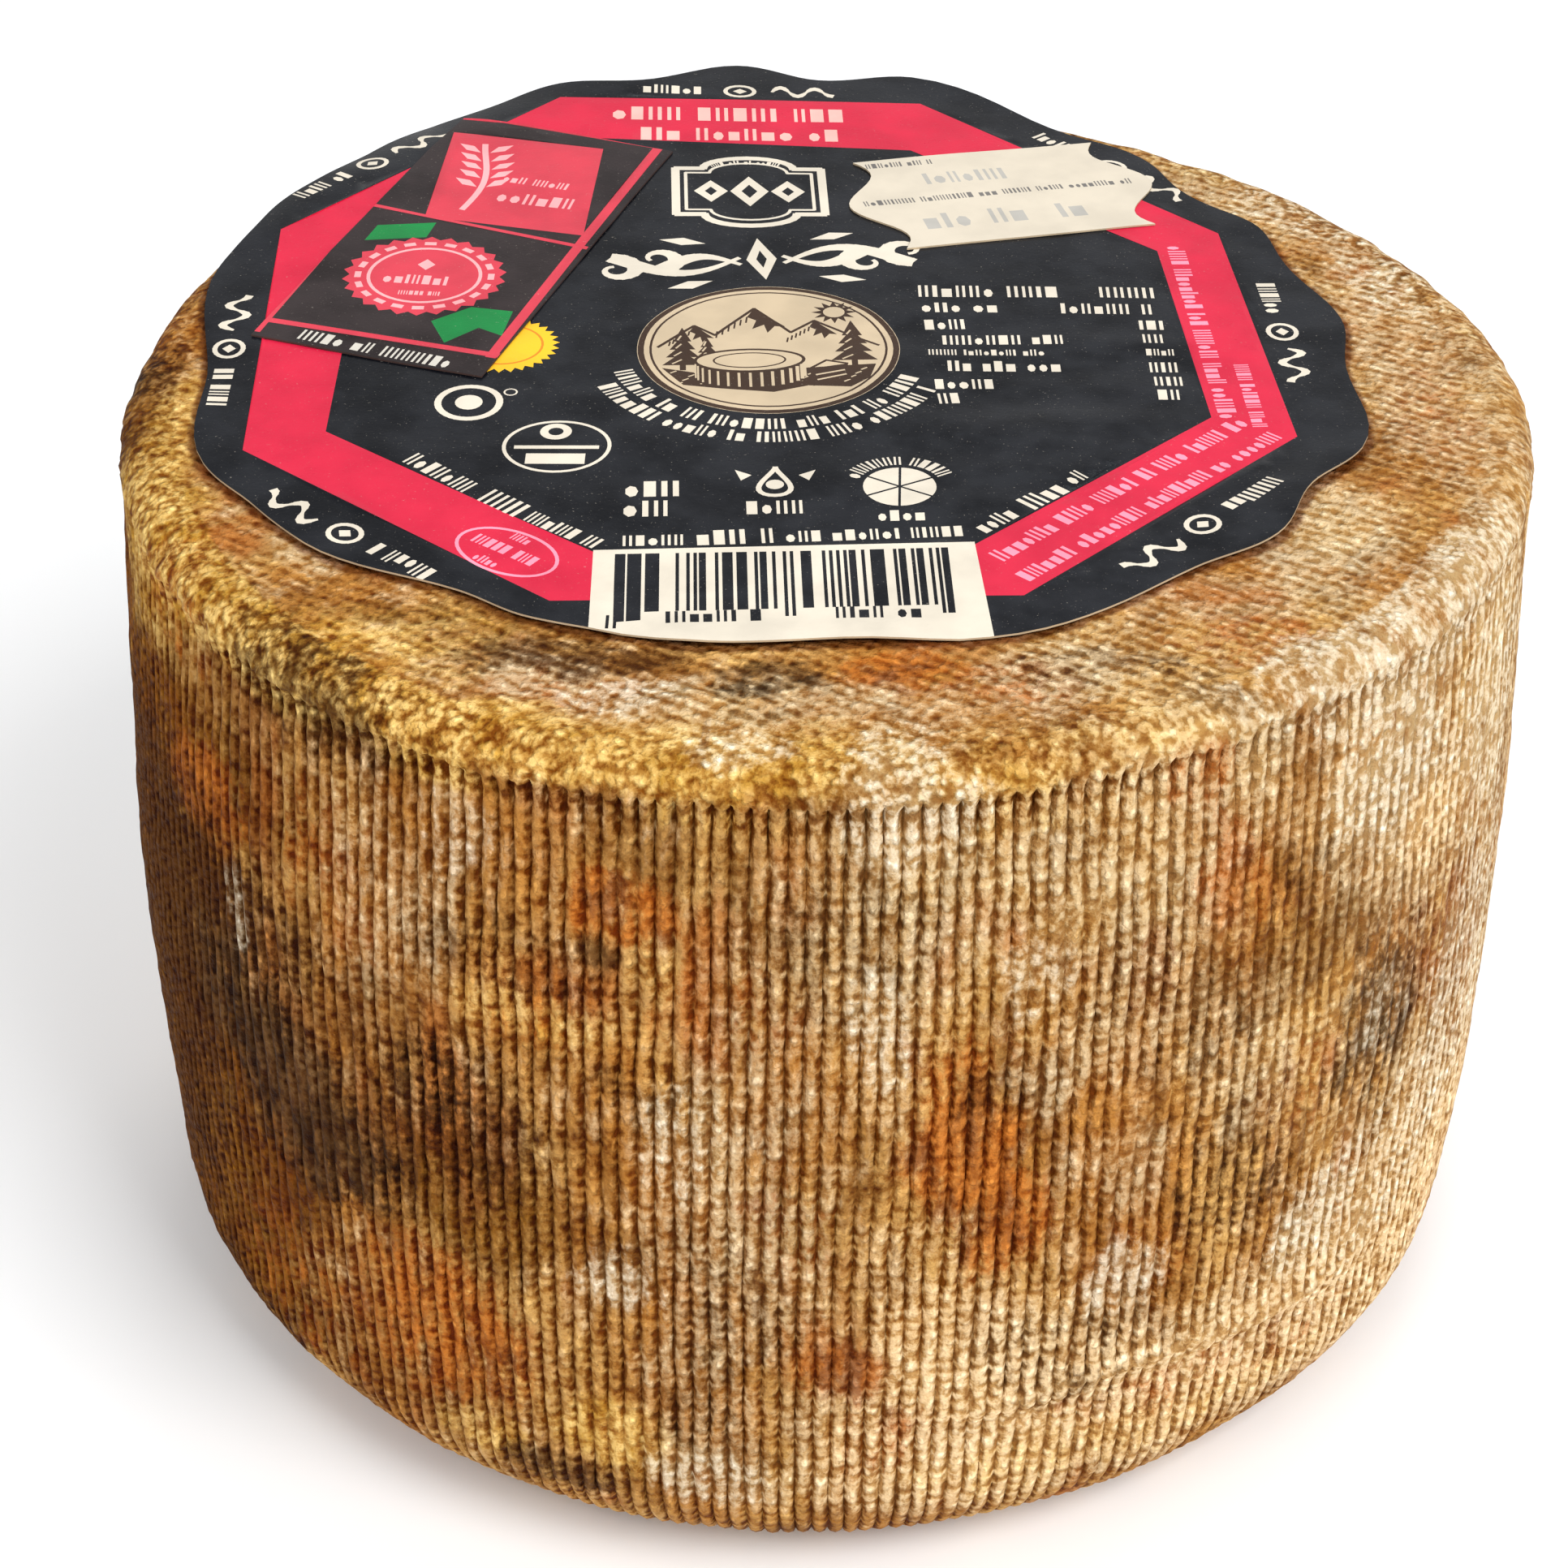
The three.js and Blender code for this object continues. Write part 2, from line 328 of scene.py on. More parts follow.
def drum_rows():
    """Radius, height, and share of the ribs' depth of each row, from the base to the top."""
    rows = []
    flat_radius = TOP_RADIUS + FOOT_FLARE - FOOT_ROUND
    for i in range(FOOT_ROWS):
        angle = (i / FOOT_ROWS) * TAU / 4
        radius = flat_radius + FOOT_ROUND * math.sin(angle)
        rows.append((radius, FOOT_ROUND * (1 - math.cos(angle)), smooth(i / FOOT_ROWS * 2.2)))
    rise = HEIGHT - RIM_ROUND - FOOT_ROUND
    for i in range(SIDE_ROWS):
        share = i / SIDE_ROWS
        radius = TOP_RADIUS + FOOT_FLARE * (1 - share) + 4 * BELLY * share * (1 - share)
        height = FOOT_ROUND + share * rise
        rows.append((radius, height, 1 - smooth((height - RIBS_END) / 1.2)))
    for i in range(RIM_ROWS + 1):
        angle = (i / RIM_ROWS) * TAU / 4
        radius = TOP_RADIUS - RIM_ROUND * (1 - math.cos(angle))
        height = HEIGHT - RIM_ROUND + RIM_ROUND * math.sin(angle)
        rows.append((radius, height, 1 - smooth((height - RIBS_END) / 1.2)))
    return np.array(rows)


def rib_places():
    """The place of each column of points round the side, counted in ribs."""
    return np.array([rib + share for rib in range(RIB_COUNT) for share in RIB_COLUMNS])


def side_swell(flat):
    """How far each point of the side stands out in lumps and in the crumbly lip."""
    swell = 0.3 * field(flat, 24, 4) + 0.10 * field(flat, 4, 5) + 0.10 * field(flat, 1.5, 6, 1)
    degrees = np.degrees(np.arctan2(flat[:, 1], flat[:, 0]))
    crumbly = smooth((35 - np.abs(degrees + 128)) / 15)
    crumbs = 0.2 + 0.24 * crumbly + (0.2 + 0.2 * crumbly) * field(flat, 2.6, 8, 3)
    return swell + lip(flat[:, 2]) * crumbs


def drum_side():
    """Points of the side as an array of rows by columns by xyz, and how worn each one is."""
    radius, height, ribbed = drum_rows().T[..., None]
    angle = rib_places() / RIB_COUNT * TAU
    around = 0 * angle
    plain = np.stack([radius * np.cos(angle), radius * np.sin(angle), height + around], -1)
    flat = plain.reshape(-1, 3)
    shape = plain.shape[:2]

    rib = np.floor(rib_places()) + 0 * height
    along = np.stack([5.3 * rib, plain[..., 2] / 5, 0 * rib], -1).reshape(-1, 3)
    sway = (0.0022 * field(flat, 22, 1) + 0.0034 * field(along, 1, 2)).reshape(shape)
    wear = smooth(0.1 + 0.9 * field(flat, 9, 3, 3)).reshape(shape)
    step, ridge = ledge(angle[None], plain[..., 2])
    wear = np.maximum(wear, np.maximum(stain_or_shading_mask(plain, "worn"), ridge))
    ends = smooth((height - END_HEIGHTS[0]) / 1.2) * smooth((END_HEIGHTS[1] - height) / 0.8)
    depth = RIB_DEPTH * FRESH_DEPTH * ribbed * (1 - WEAR_LOSS * wear)
    depth = depth * (1 - SHALLOW_LOSS * shallow_share(plain)) * (1 + END_GAIN * ends)

    turned = angle + sway * ribbed
    groove = np.tile(GROOVE_AT_COLUMN, RIB_COUNT)
    reach = radius * (1 + OVAL * np.cos(2 * turned))
    reach = reach + smooth(height / 3) * (side_swell(flat).reshape(shape) - step) - groove * depth
    x = reach * np.cos(turned)
    y = reach * np.sin(turned)
    z = height * (1 + top_rise(x, y) / HEIGHT)
    z = z + 0.25 * smooth((height - 70) / 10) * field(flat, 5, 7).reshape(shape)
    return np.stack([x, y, z], -1), wear


def relief_on_top(points):
    """Lumps and crumbs of the top face, fading in from its edge and gentle under the label."""
    radius = np.hypot(points[:, 0], points[:, 1])
    away = distance_outside_label(points[:, :2])
    coarse = 0.30 * field(points, 20, 21) + 0.16 * field(points, 4.5, 22)
    crumbs = 0.11 * field(points, 1.5, 23) + 0.05 * field(points, 0.7, 24, 1)
    inside = smooth(0.35 - away / 2)
    fade = smooth((TOP_RADIUS - RIM_ROUND - radius) / 4)
    return coarse * (1 - 0.75 * inside) * fade + crumbs * (1 - inside)


def label_reach(angle):
    """The label's edge distance from its centre at each angle in radians."""
    degrees = np.degrees(angle) % 360
    tips = np.array([*LABEL_EDGE, (360, LABEL_EDGE[0][1])], float)
    i = np.clip(np.searchsorted(tips[:, 0], degrees, "right") - 1, 0, len(tips) - 2)
    share = (degrees - tips[i, 0]) / (tips[i + 1, 0] - tips[i, 0])
    return tips[i, 1] + (tips[i + 1, 1] - tips[i, 1]) * (1 - np.cos(np.pi * share)) / 2


def distance_outside_label(spots):
    """How far each spot of the plan lies outside the label's edge, negative inside it."""
    off = spots - np.array(LABEL_CENTRE)
    return np.hypot(off[:, 0], off[:, 1]) - label_reach(np.arctan2(off[:, 1], off[:, 0]))


def near_label_or_out(spots):
    return distance_outside_label(spots) > -2.0


def nowhere(spots):
    return np.zeros(len(spots), bool)


def fill_ring(ring, fine, coarse, keep_fine, seed):
    """Triangles over the flat region inside a ring of plan points: (spots, faces).

    The first spots are the ring's. Spacing is fine where keep_fine says so, else coarse.
    """
    draw = np.random.default_rng(seed)
    ring_reach = np.hypot(*ring.T)
    ring_angle = np.arctan2(ring[:, 1], ring[:, 0])
    order = np.argsort(ring_angle)
    spots = [ring]
    for step, wanted in ((fine, True), (coarse, False)):
        ticks = np.arange(-ring_reach.max(), ring_reach.max(), step)
        grid = np.stack(np.meshgrid(ticks, ticks * 0.87), -1)
        grid[1::2, :, 0] += step / 2
        grid = grid.reshape(-1, 2) + draw.uniform(-0.2, 0.2, (grid.size // 2, 2)) * step
        angles = np.arctan2(grid[:, 1], grid[:, 0])
        edge = np.interp(angles, ring_angle[order], ring_reach[order], period=TAU)
        room = edge - np.hypot(*grid.T) > 0.6 * step
        spots.append(grid[room & (keep_fine(grid) == wanted)])
    spots = np.concatenate(spots)
    outline = list(range(len(ring)))
    result = delaunay_2d_cdt([Vector(s) for s in spots], [], [outline], 1, 1e-7)
    source = [origin[0] for origin in result[3]]
    assert len(source) == len(spots)
    return spots, [[source[i] for i in face] for face in result[2]]


def rind_faces(rows, columns, base_faces, top_faces, base_count):
    """Faces of the side, then of the base and the top, whose first points are the side's."""
    faces = []
    for row in range(rows - 1):
        here, above = row * columns, (row + 1) * columns
        for i in range(columns):
            j = (i + 1) % columns
            faces.append((here + i, here + j, above + j, above + i))
    shift = (rows - 1) * columns
    faces += [[i if i < columns else i + shift for i in reversed(face)] for face in base_faces]
    lift = shift + base_count
    faces += [[i + shift if i < columns else i + lift for i in face] for face in top_faces]
    return faces


def build_rind():
    """One closed mesh: base, ribbed side, rim and top face."""
    side, wear = drum_side()
    rows, columns = side.shape[:2]
    base_spots, base_faces = fill_ring(side[0, :, :2], BASE_STEP, BASE_STEP, nowhere, 31)
    top_spots, top_faces = fill_ring(side[-1, :, :2], TOP_STEP, HIDDEN_STEP, near_label_or_out, 32)
    base = np.c_[base_spots, np.zeros(len(base_spots))][columns:]
    top = np.c_[top_spots, HEIGHT + top_rise(*top_spots.T)][columns:]
    top[:, 2] += relief_on_top(top)
    points = np.concatenate([side.reshape(-1, 3), base, top])

    mesh = bpy.data.meshes.new("rind")
    faces = rind_faces(rows, columns, base_faces, top_faces, len(base))
    mesh.from_pydata([tuple(p) for p in points * MM], [], faces)
    beyond = np.zeros(len(base) + len(top))
    add_values(mesh, "side", np.r_[np.repeat(drum_rows()[:, 2], columns), beyond])
    add_values(mesh, "wear", np.r_[wear.ravel(), beyond])
    for kind in STAIN_AND_SHADING_KINDS:
        add_values(mesh, kind, stain_or_shading_mask(points, kind))
    add_values(mesh, "rim", rim_share(points))
    add_values(mesh, "shallow", shallow_share(points))
    under_label = 1 - smooth(distance_outside_label(points[:, :2]) / 1.6 + 0.1)
    add_values(mesh, "shade", under_label * smooth((points[:, 2] - HEIGHT + 4) / 3))
    add_threads(mesh, rows, columns)
    mesh.shade_smooth()
    return new_object("cheese_rind", mesh)


def add_values(mesh, name, values):
    attribute = mesh.attributes.new(name, "FLOAT", "POINT")
    attribute.data.foreach_set("value", np.asarray(values, np.float32))


def add_threads(mesh, rows, columns):
    """Each side corner's place in the rib pattern: ribs counted round, and height in mm."""
    shares = np.append(rib_places(), RIB_COUNT)
    heights = drum_rows()[:, 1]
    threads = np.zeros((len(mesh.loops), 3), np.float32)
    count = (rows - 1) * columns
    row, column = np.divmod(np.arange(count), columns)
    for corner, (right, up) in enumerate(((0, 0), (1, 0), (1, 1), (0, 1))):
        threads[corner:4 * count:4, 0] = shares[column + right]
        threads[corner:4 * count:4, 1] = heights[row + up]
    attribute = mesh.attributes.new("thread", "FLOAT_VECTOR", "CORNER")
    attribute.data.foreach_set("vector", threads.ravel())


# Materials

def srgb(red, green, blue):
    """A colour in 0 to 255 as the linear colour that a shader takes."""
    def linear(value):
        value /= 255
        return value / 12.92 if value <= 0.04045 else ((value + 0.055) / 1.055) ** 2.4
    return linear(red), linear(green), linear(blue), 1.0


class Graph:
    """A material's nodes, made one call each. Numbers and sockets are taken alike."""

    def __init__(self, name, specular=0.5):
        self.material = bpy.data.materials.new(name)
        self.material.use_nodes = True
        self.tree = self.material.node_tree
        self.shader = self.tree.nodes["Principled BSDF"]
        self.shader.inputs["Specular IOR Level"].default_value = specular

    def new(self, kind):
        return self.tree.nodes.new("ShaderNode" + kind)

    def fill(self, node, inputs):
        """Sets a node's inputs, given by name or number, and returns its outputs."""
        for key, value in inputs.items():
            if isinstance(value, bpy.types.NodeSocket):
                self.tree.links.new(value, node.inputs[key])
            else:
                node.inputs[key].default_value = value
        return node.outputs

    def position(self):
        """The object's own coordinates in millimetres."""
        return self.vector("SCALE", self.new("TexCoord").outputs["Object"], 1 / MM)

    def attribute(self, name, output="Fac"):
        node = self.new("Attribute")
        node.attribute_name = name
        return node.outputs[output]

    def vector(self, operation, first, second):
        node = self.new("VectorMath")
        node.operation = operation
        return self.fill(node, {0: first, "Scale" if operation == "SCALE" else 1: second})[0]

    def math(self, operation, first, second=0.0, clamp=False):
        node = self.new("Math")
        node.operation = operation
        node.use_clamp = clamp
        return self.fill(node, {0: first, 1: second})[0]

    def add(self, first, *others):
        for other in others:
            first = self.math("ADD", first, other)
        return first

    def times(self, first, *others):
        for other in others:
            first = self.math("MULTIPLY", first, other)
        return first

    def split(self, vector):
        return self.fill(self.new("SeparateXYZ"), {0: vector})

    def join(self, x, y, z=0.0):
        return self.fill(self.new("CombineXYZ"), {0: x, 1: y, 2: z})[0]

    def noise(self, vector, size, detail=2.0, roughness=0.5, distortion=0.0, output="Fac"):
        """Noise of 0 to 1 in lumps of about that size in mm, as a number or a Color of three."""
        shape = {"Detail": detail, "Roughness": roughness, "Distortion": distortion}
        return self.fill(self.new("TexNoise"), {"Vector": vector, "Scale": 1 / size, **shape})[output]

    def swing(self, *arguments):
        """Noise as above, but of -0.5 to 0.5."""
        return self.math("SUBTRACT", self.noise(*arguments), 0.5)

    def cells(self, vector, size):
        """Distance from the middle of the cell that each place is in, cells of that size in mm."""
        return self.fill(self.new("TexVoronoi"), {"Vector": vector, "Scale": 1 / size})["Distance"]

    def span(self, value, low, high, to_low=0.0, to_high=1.0):
        """Maps low to high onto to_low to to_high, eased, and holds outside."""
        node = self.new("MapRange")
        node.interpolation_type = "SMOOTHSTEP"
        ends = {"From Min": low, "From Max": high, "To Min": to_low, "To Max": to_high}
        return self.fill(node, {"Value": value, **ends})["Result"]

    def ramp(self, value, stops):
        """Numbers between stops of (place, number)."""
        node = self.new("ValToRGB")
        elements = node.color_ramp.elements
        while len(elements) < len(stops):
            elements.new(0.5)
        for element, (place, number) in zip(elements, stops):
            element.position = place
            element.color = (number, number, number, 1)
        return self.fill(node, {0: value})["Color"]

    def mix(self, share, first, second, blend="MIX"):
        """Colour first turning into second as share goes from 0 to 1."""
        node = self.new("Mix")
        node.data_type = "RGBA"
        node.blend_type = blend
        return self.fill(node, {"Factor": share, 6: first, 7: second})[2]

    def tint(self, share, colour, tone):
        """The colour turning into itself times a tone as share goes from 0 to 1."""
        return self.mix(share, colour, tone, "MULTIPLY")

    def blend(self, share, first, second):
        """A number turning from first into second as share goes from 0 to 1."""
        return self.fill(self.new("Mix"), {"Factor": share, 2: first, 3: second})[0]

    def bump(self, height, depth, strength=1.0):
        """Bump of that depth in mm."""
        inputs = {"Strength": strength, "Distance": depth * MM, "Height": height}
        return self.fill(self.new("Bump"), inputs)["Normal"]

    def finish(self, colour, roughness, normal):
        self.fill(self.shader, {"Base Color": colour, "Roughness": roughness, "Normal": normal})
        return self.material


TAN = srgb(200, 154, 88)
WARM_TAN = srgb(178, 120, 54)
KHAKI = srgb(170, 136, 88)
AMBER = srgb(180, 98, 22)
BROWN = srgb(116, 70, 22)
CREAM = srgb(246, 214, 166)
RUST = srgb(196, 114, 42)
DEEP_RUST = srgb(136, 70, 22)
UMBER = srgb(80, 46, 16)
MOULD = srgb(104, 72, 40)
DARK_MOULD = srgb(58, 37, 17)
BLOOM = srgb(226, 210, 182)
PALE = srgb(222, 200, 160)
GOLD = srgb(246, 206, 124)
OCHRE = srgb(192, 142, 52)
# Painted shade in the grooves and where the ribs end under the lip
GROOVE_SHADE_TINT = (0.42, 0.23, 0.05, 1)
# Painted shade in the hollows of the relief
HOLLOW_SHADE_TINT = (0.64, 0.51, 0.33, 1)
# Painted highlight, whiter and a little blue, on the highest crests
CREST_HIGHLIGHT_TINT = (1.45, 1.58, 1.8, 1)
# Colour of the darkening glaze, partly painted shade
SOOT_AND_SHADE_TINT = (0.40, 0.27, 0.085, 1)
SHADE_TINT = (0.30, 0.17, 0.13, 1)

# The weave of the cloth, as it marked the rind: millimetres, and degrees in plan with how
# deeply those threads pressed in
KNOT_PITCH = 1.15
CLOTH_PITCH = 1.2
CLOTH_TURNS = ((57, 0.46), (147, 0.16))
CLOTH_FLOOR = 0.56

# Height across a rib, from one groove to the next
RIB_PROFILE = ((0, 0), (0.09, 0.35), (0.22, 0.85), (0.45, 1), (0.72, 0.85), (0.9, 0.35), (1, 0))


def rind_hue(g, stretched, height):
    """The rind's colour before the painted shade and highlights of its relief: patches of tan and brown,
    then stains, with partly painted shade and light among them.
    """
    patches = g.noise(stretched, 13, 3, 0.55)
    blotches = g.noise(stretched, 2.4, 4, 0.62)
    mottle = g.noise(stretched, 5, 5, 0.66, 0.6)
    colour = g.mix(g.span(patches, 0.38, 0.62), TAN, WARM_TAN)
    colour = g.mix(g.span(mottle, 0.42, 0.68, 0, 0.7), colour, BROWN)
    colour = g.mix(g.span(g.noise(stretched, 9, 4, 0.6), 0.5, 0.66, 0, 0.75), colour, KHAKI)
    colour = g.mix(g.span(g.noise(stretched, 9, 3, 0.6), 0.53, 0.7, 0, 0.65), colour, AMBER)
    colour = g.mix(g.span(blotches, 0.5, 0.75, 0, 0.5), colour, CREAM)

    ochre = g.mix(g.span(blotches, 0.35, 0.6), OCHRE, GOLD)
    rust = g.mix(g.span(blotches, 0.4, 0.64), RUST, DEEP_RUST)
    mould = g.mix(g.span(blotches, 0.4, 0.62), DARK_MOULD, MOULD)
    ragged = g.swing(stretched, 1.8, 6, 0.75)
    perched = g.math("SUBTRACT", height, 0.6)
    # Each kind's colour, opacity, raggedness, and how far it keeps to the crests, or to the
    # grooves below 0
    for kind, tone, opacity, edge, perch in (
        ("pale", PALE, 0.6, 1.8, 0.2), ("cream", CREAM, 0.75, 1.6, 0.1),
        ("soot_and_shade", SOOT_AND_SHADE_TINT, 1.0, 1.2, -0.1), ("yellow", ochre, 0.8, 1.6, 0.0),
        ("rust", rust, 0.85, 2.6, -0.25), ("umber", UMBER, 0.85, 1.8, -0.3),
        ("mould", mould, 0.9, 1.8, -0.3), ("bloom", BLOOM, 0.7, 2.2, 0.3),
    ):
        mask = g.attribute(kind)
        amount = g.add(mask, g.times(ragged, edge), g.times(perched, perch))
        amount = g.times(g.span(amount, 0.05, 0.84), g.span(mask, 0.0, 0.3), opacity)
        # The darkening glaze multiplies the colour and is partly painted shade; the other kinds replace it
        colour = g.mix(amount, colour, tone, "MULTIPLY" if kind == "soot_and_shade" else "MIX")
    return colour


def wave(g, value):
    """0 at whole numbers and 1 halfway between them, in a smooth wave."""
    return g.math("SUBTRACT", 0.5, g.times(g.math("COSINE", g.times(value, TAU)), 0.5))


def rope_height(g, stretched):
    """Height over the side's ribs, 0 in a groove and 1 on a crest, in rows of knots."""
    across, height, _ = g.split(g.attribute("thread", "Vector"))
    across = g.add(across, g.times(g.swing(stretched, 1.5, 2), 0.5))
    rope = g.ramp(g.math("FRACT", across), RIB_PROFILE)
    slip = g.times(g.swing(stretched, 3, 3, 0.6), 1.3)
    knots = wave(g, g.add(g.math("DIVIDE", height, KNOT_PITCH), slip))
    rope = g.blend(knots, g.times(rope, 0.86), g.add(g.times(rope, 0.66), 0.38))
    strand = g.join(g.times(g.math("FLOOR", across), 3.7), height)
    rope = g.add(rope, g.times(g.swing(strand, 1.2, 2, 0.6), 0.9))
    worn = g.add(g.attribute("wear"), g.times(g.attribute("shallow"), 0.4))
    worn = g.span(g.add(worn, g.noise(stretched, 2.6, 3, 0.6)), 0.8, 1.5, 0, 0.85)
    return g.blend(worn, rope, 0.62)


def cloth_height(g, place):
    """Height over the top face: the slanting square weave of the cloth that was pressed on it."""
    x, y, _ = g.split(place)
    slip = g.times(g.swing(place, 3.4, 3, 0.55), 1.1)
    height = CLOTH_FLOOR
    for degrees, share in CLOTH_TURNS:
        turn = math.radians(degrees)
        along = g.add(g.times(x, math.cos(turn)), g.times(y, math.sin(turn)))
        threads = wave(g, g.add(g.math("DIVIDE", along, CLOTH_PITCH), slip))
        height = g.add(height, g.times(threads, share))
    return height


def rind_relief(g, place, stretched, lumps, grain):
    """Height over the rind: ropes on the side, cloth on the top, clods at the rim, and crumbs."""
    x, y, z = g.split(place)
    rim = g.attribute("rim")
    cloth = g.blend(g.times(rim, 0.85), cloth_height(g, place), 0.8)
    height = g.blend(g.attribute("side"), cloth, rope_height(g, stretched))
    shaken = g.vector("ADD", place, g.noise(place, 1.2, output="Color"))
    clods = g.span(g.cells(shaken, 0.8), 0.75, 0.2, -0.36, 0.2)
    crumbling = g.times(rim, g.math("SUBTRACT", 1.0, g.times(g.attribute("shallow"), 0.7)))
    crumbs = g.span(g.cells(g.join(x, y, g.times(z, 0.8)), 0.75), 0.6, 0.15, -0.4, 0.5)
    height = g.add(height, g.times(clods, crumbling))
    return g.add(height, g.times(lumps, 0.9), g.times(grain, 1.8), g.times(crumbs, 0.46))


def shaded(g, colour, place, height, lumps):
    """The rind's colour with painted shade in hollows and grooves, where the ribs end under the lip and
    under the label's edge, and a painted highlight on crests.
    """
    # Painted shade in the hollows
    colour = g.tint(g.span(height, 0.86, 0.42), colour, HOLLOW_SHADE_TINT)
    covered = g.times(g.add(g.attribute("pale"), g.attribute("bloom")), 0.4)
    covered = g.math("ADD", covered, g.times(g.attribute("shallow"), 0.5), clamp=True)
    # Painted shade in the grooves, less where bloom, pale patches and shallow ribs fill them
    groove = g.times(g.span(height, 0.55, 0.0), g.math("SUBTRACT", 1.0, covered))
    colour = g.tint(groove, colour, GROOVE_SHADE_TINT)
    # Painted highlight on the highest crests
    colour = g.tint(g.span(height, 0.9, 1.5), colour, CREST_HIGHLIGHT_TINT)
    # Painted shadow in the grooves where the ribs end under the crumbly lip
    _, rise, _ = g.split(g.attribute("thread", "Vector"))
    rib_end_shadow = g.times(
        g.span(rise, 74.8, 76.4), g.span(rise, 78.0, 77.0),
        g.span(g.noise(place, 9, 1), 0.4, 0.6, 0.25, 0.9),
        g.span(g.attribute("shallow"), 0.0, 1.0, 1.0, 0.45), g.span(height, 0.95, 0.3),
    )
    colour = g.tint(rib_end_shadow, colour, GROOVE_SHADE_TINT)
    under_edge = g.span(g.add(g.attribute("shade"), lumps), 0.35, 0.85, 0, 0.85)
    return g.tint(under_edge, colour, SHADE_TINT)


def rind_material():
    g = Graph("rind", 0.04)
    place = g.position()
    x, y, z = g.split(place)
    stretched = g.join(x, y, g.times(z, 0.5))
    lumps = g.swing(place, 1.9, 3, 0.6)
    grain = g.swing(place, 0.9, 3, 0.65)
    height = rind_relief(g, place, stretched, lumps, grain)
    colour = shaded(g, rind_hue(g, stretched, height), place, height, lumps)
    return g.finish(colour, g.span(grain, -0.25, 0.25, 0.5, 0.75), g.bump(height, 0.3))


# Paper and print

# What the label and its stickers carry is plain ornament: blocks in rows where lines of print
# would be, rings, diamonds, scrolls, and a small view of a wheel of cheese.

# Corners of the coloured band between two octagons, in plan
BAND_OUTER = (
    (-24.8, 51.5), (8.6, 52.6), (33.9, 26.8), (36.6, -9.4), (14.2, -32.9), (-20.1, -33.2),
    (-45.3, -12.2), (-47.0, 23.6),
)
BAND_INNER = (
    (-20.5, 43.0), (7.5, 42.2), (28.3, 23.0), (30.2, -6.4), (10.9, -25.8), (-17.2, -26.8),
    (-39.2, -9.3), (-39.6, 20.0),
)

# Middles of the ornaments in plan, and how far the scrolls over the medallion are turned
MEDALLION = (-4.8, 4.5)
PLAQUE = (-6.9, 33.0)
FLOURISH = (-5.6, 20.0, 0.12)
OVAL_SEAL = (-21.0, -11.4)
DROP = (-4.0, -16.4)
BARRED_DISC = (5.5, -17.4)
ROSETTE = (-33.9, 15.8)


def placed(points, x, y, turn=0.0):
    """The points turned and moved, so that their origin comes to x, y."""
    c, s = math.cos(turn), math.sin(turn)
    return [(x + c * px - s * py, y + s * px + c * py) for px, py in points]


def all_placed(shapes, x, y, turn=0.0):
    return [placed(shape, x, y, turn) for shape in shapes]


def slab(x, y, width, height, turn=0.0):
    w, h = width / 2, height / 2
    return placed([(-w, -h), (w, -h), (w, h), (-w, h)], x, y, turn)


def disc(x, y, radius, count=48, squash=1.0, turn=0.0):
    angles = [TAU * i / count for i in range(count)]
    edge = [(radius * math.cos(a), squash * radius * math.sin(a)) for a in angles]
    return placed(edge, x, y, turn)


def diamond(x, y, width, height, turn=0.0):
    w, h = width / 2, height / 2
    return placed([(-w, 0), (0, -h), (w, 0), (0, h)], x, y, turn)


def star(x, y, outer, inner, tips):
    points = []
    for i in range(2 * tips):
        reach = inner if i % 2 else outer
        angle = TAU * i / (2 * tips) + TAU / 4
        points.append((reach * math.cos(angle), reach * math.sin(angle)))
    return placed(points, x, y)


def stroke(points, width, closed=False):
    """One four-sided shape for each stretch of a line, which may be given a width per point."""
    points = np.array(points, float)
    widths = np.broadcast_to(np.asarray(width, float), (len(points),))
    if closed:
        points, widths = np.vstack([points, points[:1]]), np.append(widths, widths[0])
    shapes = []
    for a, b, wide_a, wide_b in zip(points, points[1:], widths, widths[1:]):
        run = (b - a) / np.hypot(*(b - a))
        side = np.array([-run[1], run[0]]) / 2
        a, b = a - 0.2 * wide_a * run, b + 0.2 * wide_b * run
        corners = a - wide_a * side, b - wide_b * side, b + wide_b * side, a + wide_a * side
        shapes.append([tuple(corner) for corner in corners])
    return shapes


def ring(x, y, radius, width, count=48, squash=1.0, turn=0.0):
    return stroke(disc(x, y, radius, count, squash, turn), width, closed=True)


def letters(length, height, seed):
    """Places and shapes along a line of the marks that stand for a line of print."""
    draw = random.Random(seed)
    place, left_in_word = 0.0, draw.randint(3, 8)
    while True:
        form = draw.choice(("block", "post", "pair", "pair", "round", "low"))
        width = height * (0.2 if form == "post" else draw.uniform(0.38, 0.48))
        if place + width > length:
            return
        yield place + width / 2, mark(form, width, height)
        place += width + 0.18 * height
        left_in_word -= 1
        if left_in_word == 0:
            place += 0.42 * height
            left_in_word = draw.randint(2, 9)


def mark(form, width, height):
    """The outlines of one mark about the middle of its line."""
    if form == "pair":
        return [slab(side * 0.34 * width, 0, 0.3 * width, height) for side in (-1, 1)]
    if form == "round":
        return [disc(0, -0.14 * height, 0.5 * width, 7, 0.36 * height / (0.5 * width))]
    if form == "low":
        return [slab(0, -0.14 * height, width, 0.72 * height)]
    return [slab(0, 0, width, height)]


def words(x0, y0, x1, y1, height, seed):
    """Marks in a row from one point to another."""
    turn = math.atan2(y1 - y0, x1 - x0)
    shapes = []
    for at, outlines in letters(math.hypot(x1 - x0, y1 - y0), height, seed):
        shapes += all_placed(all_placed(outlines, at, 0), x0, y0, turn)
    return shapes


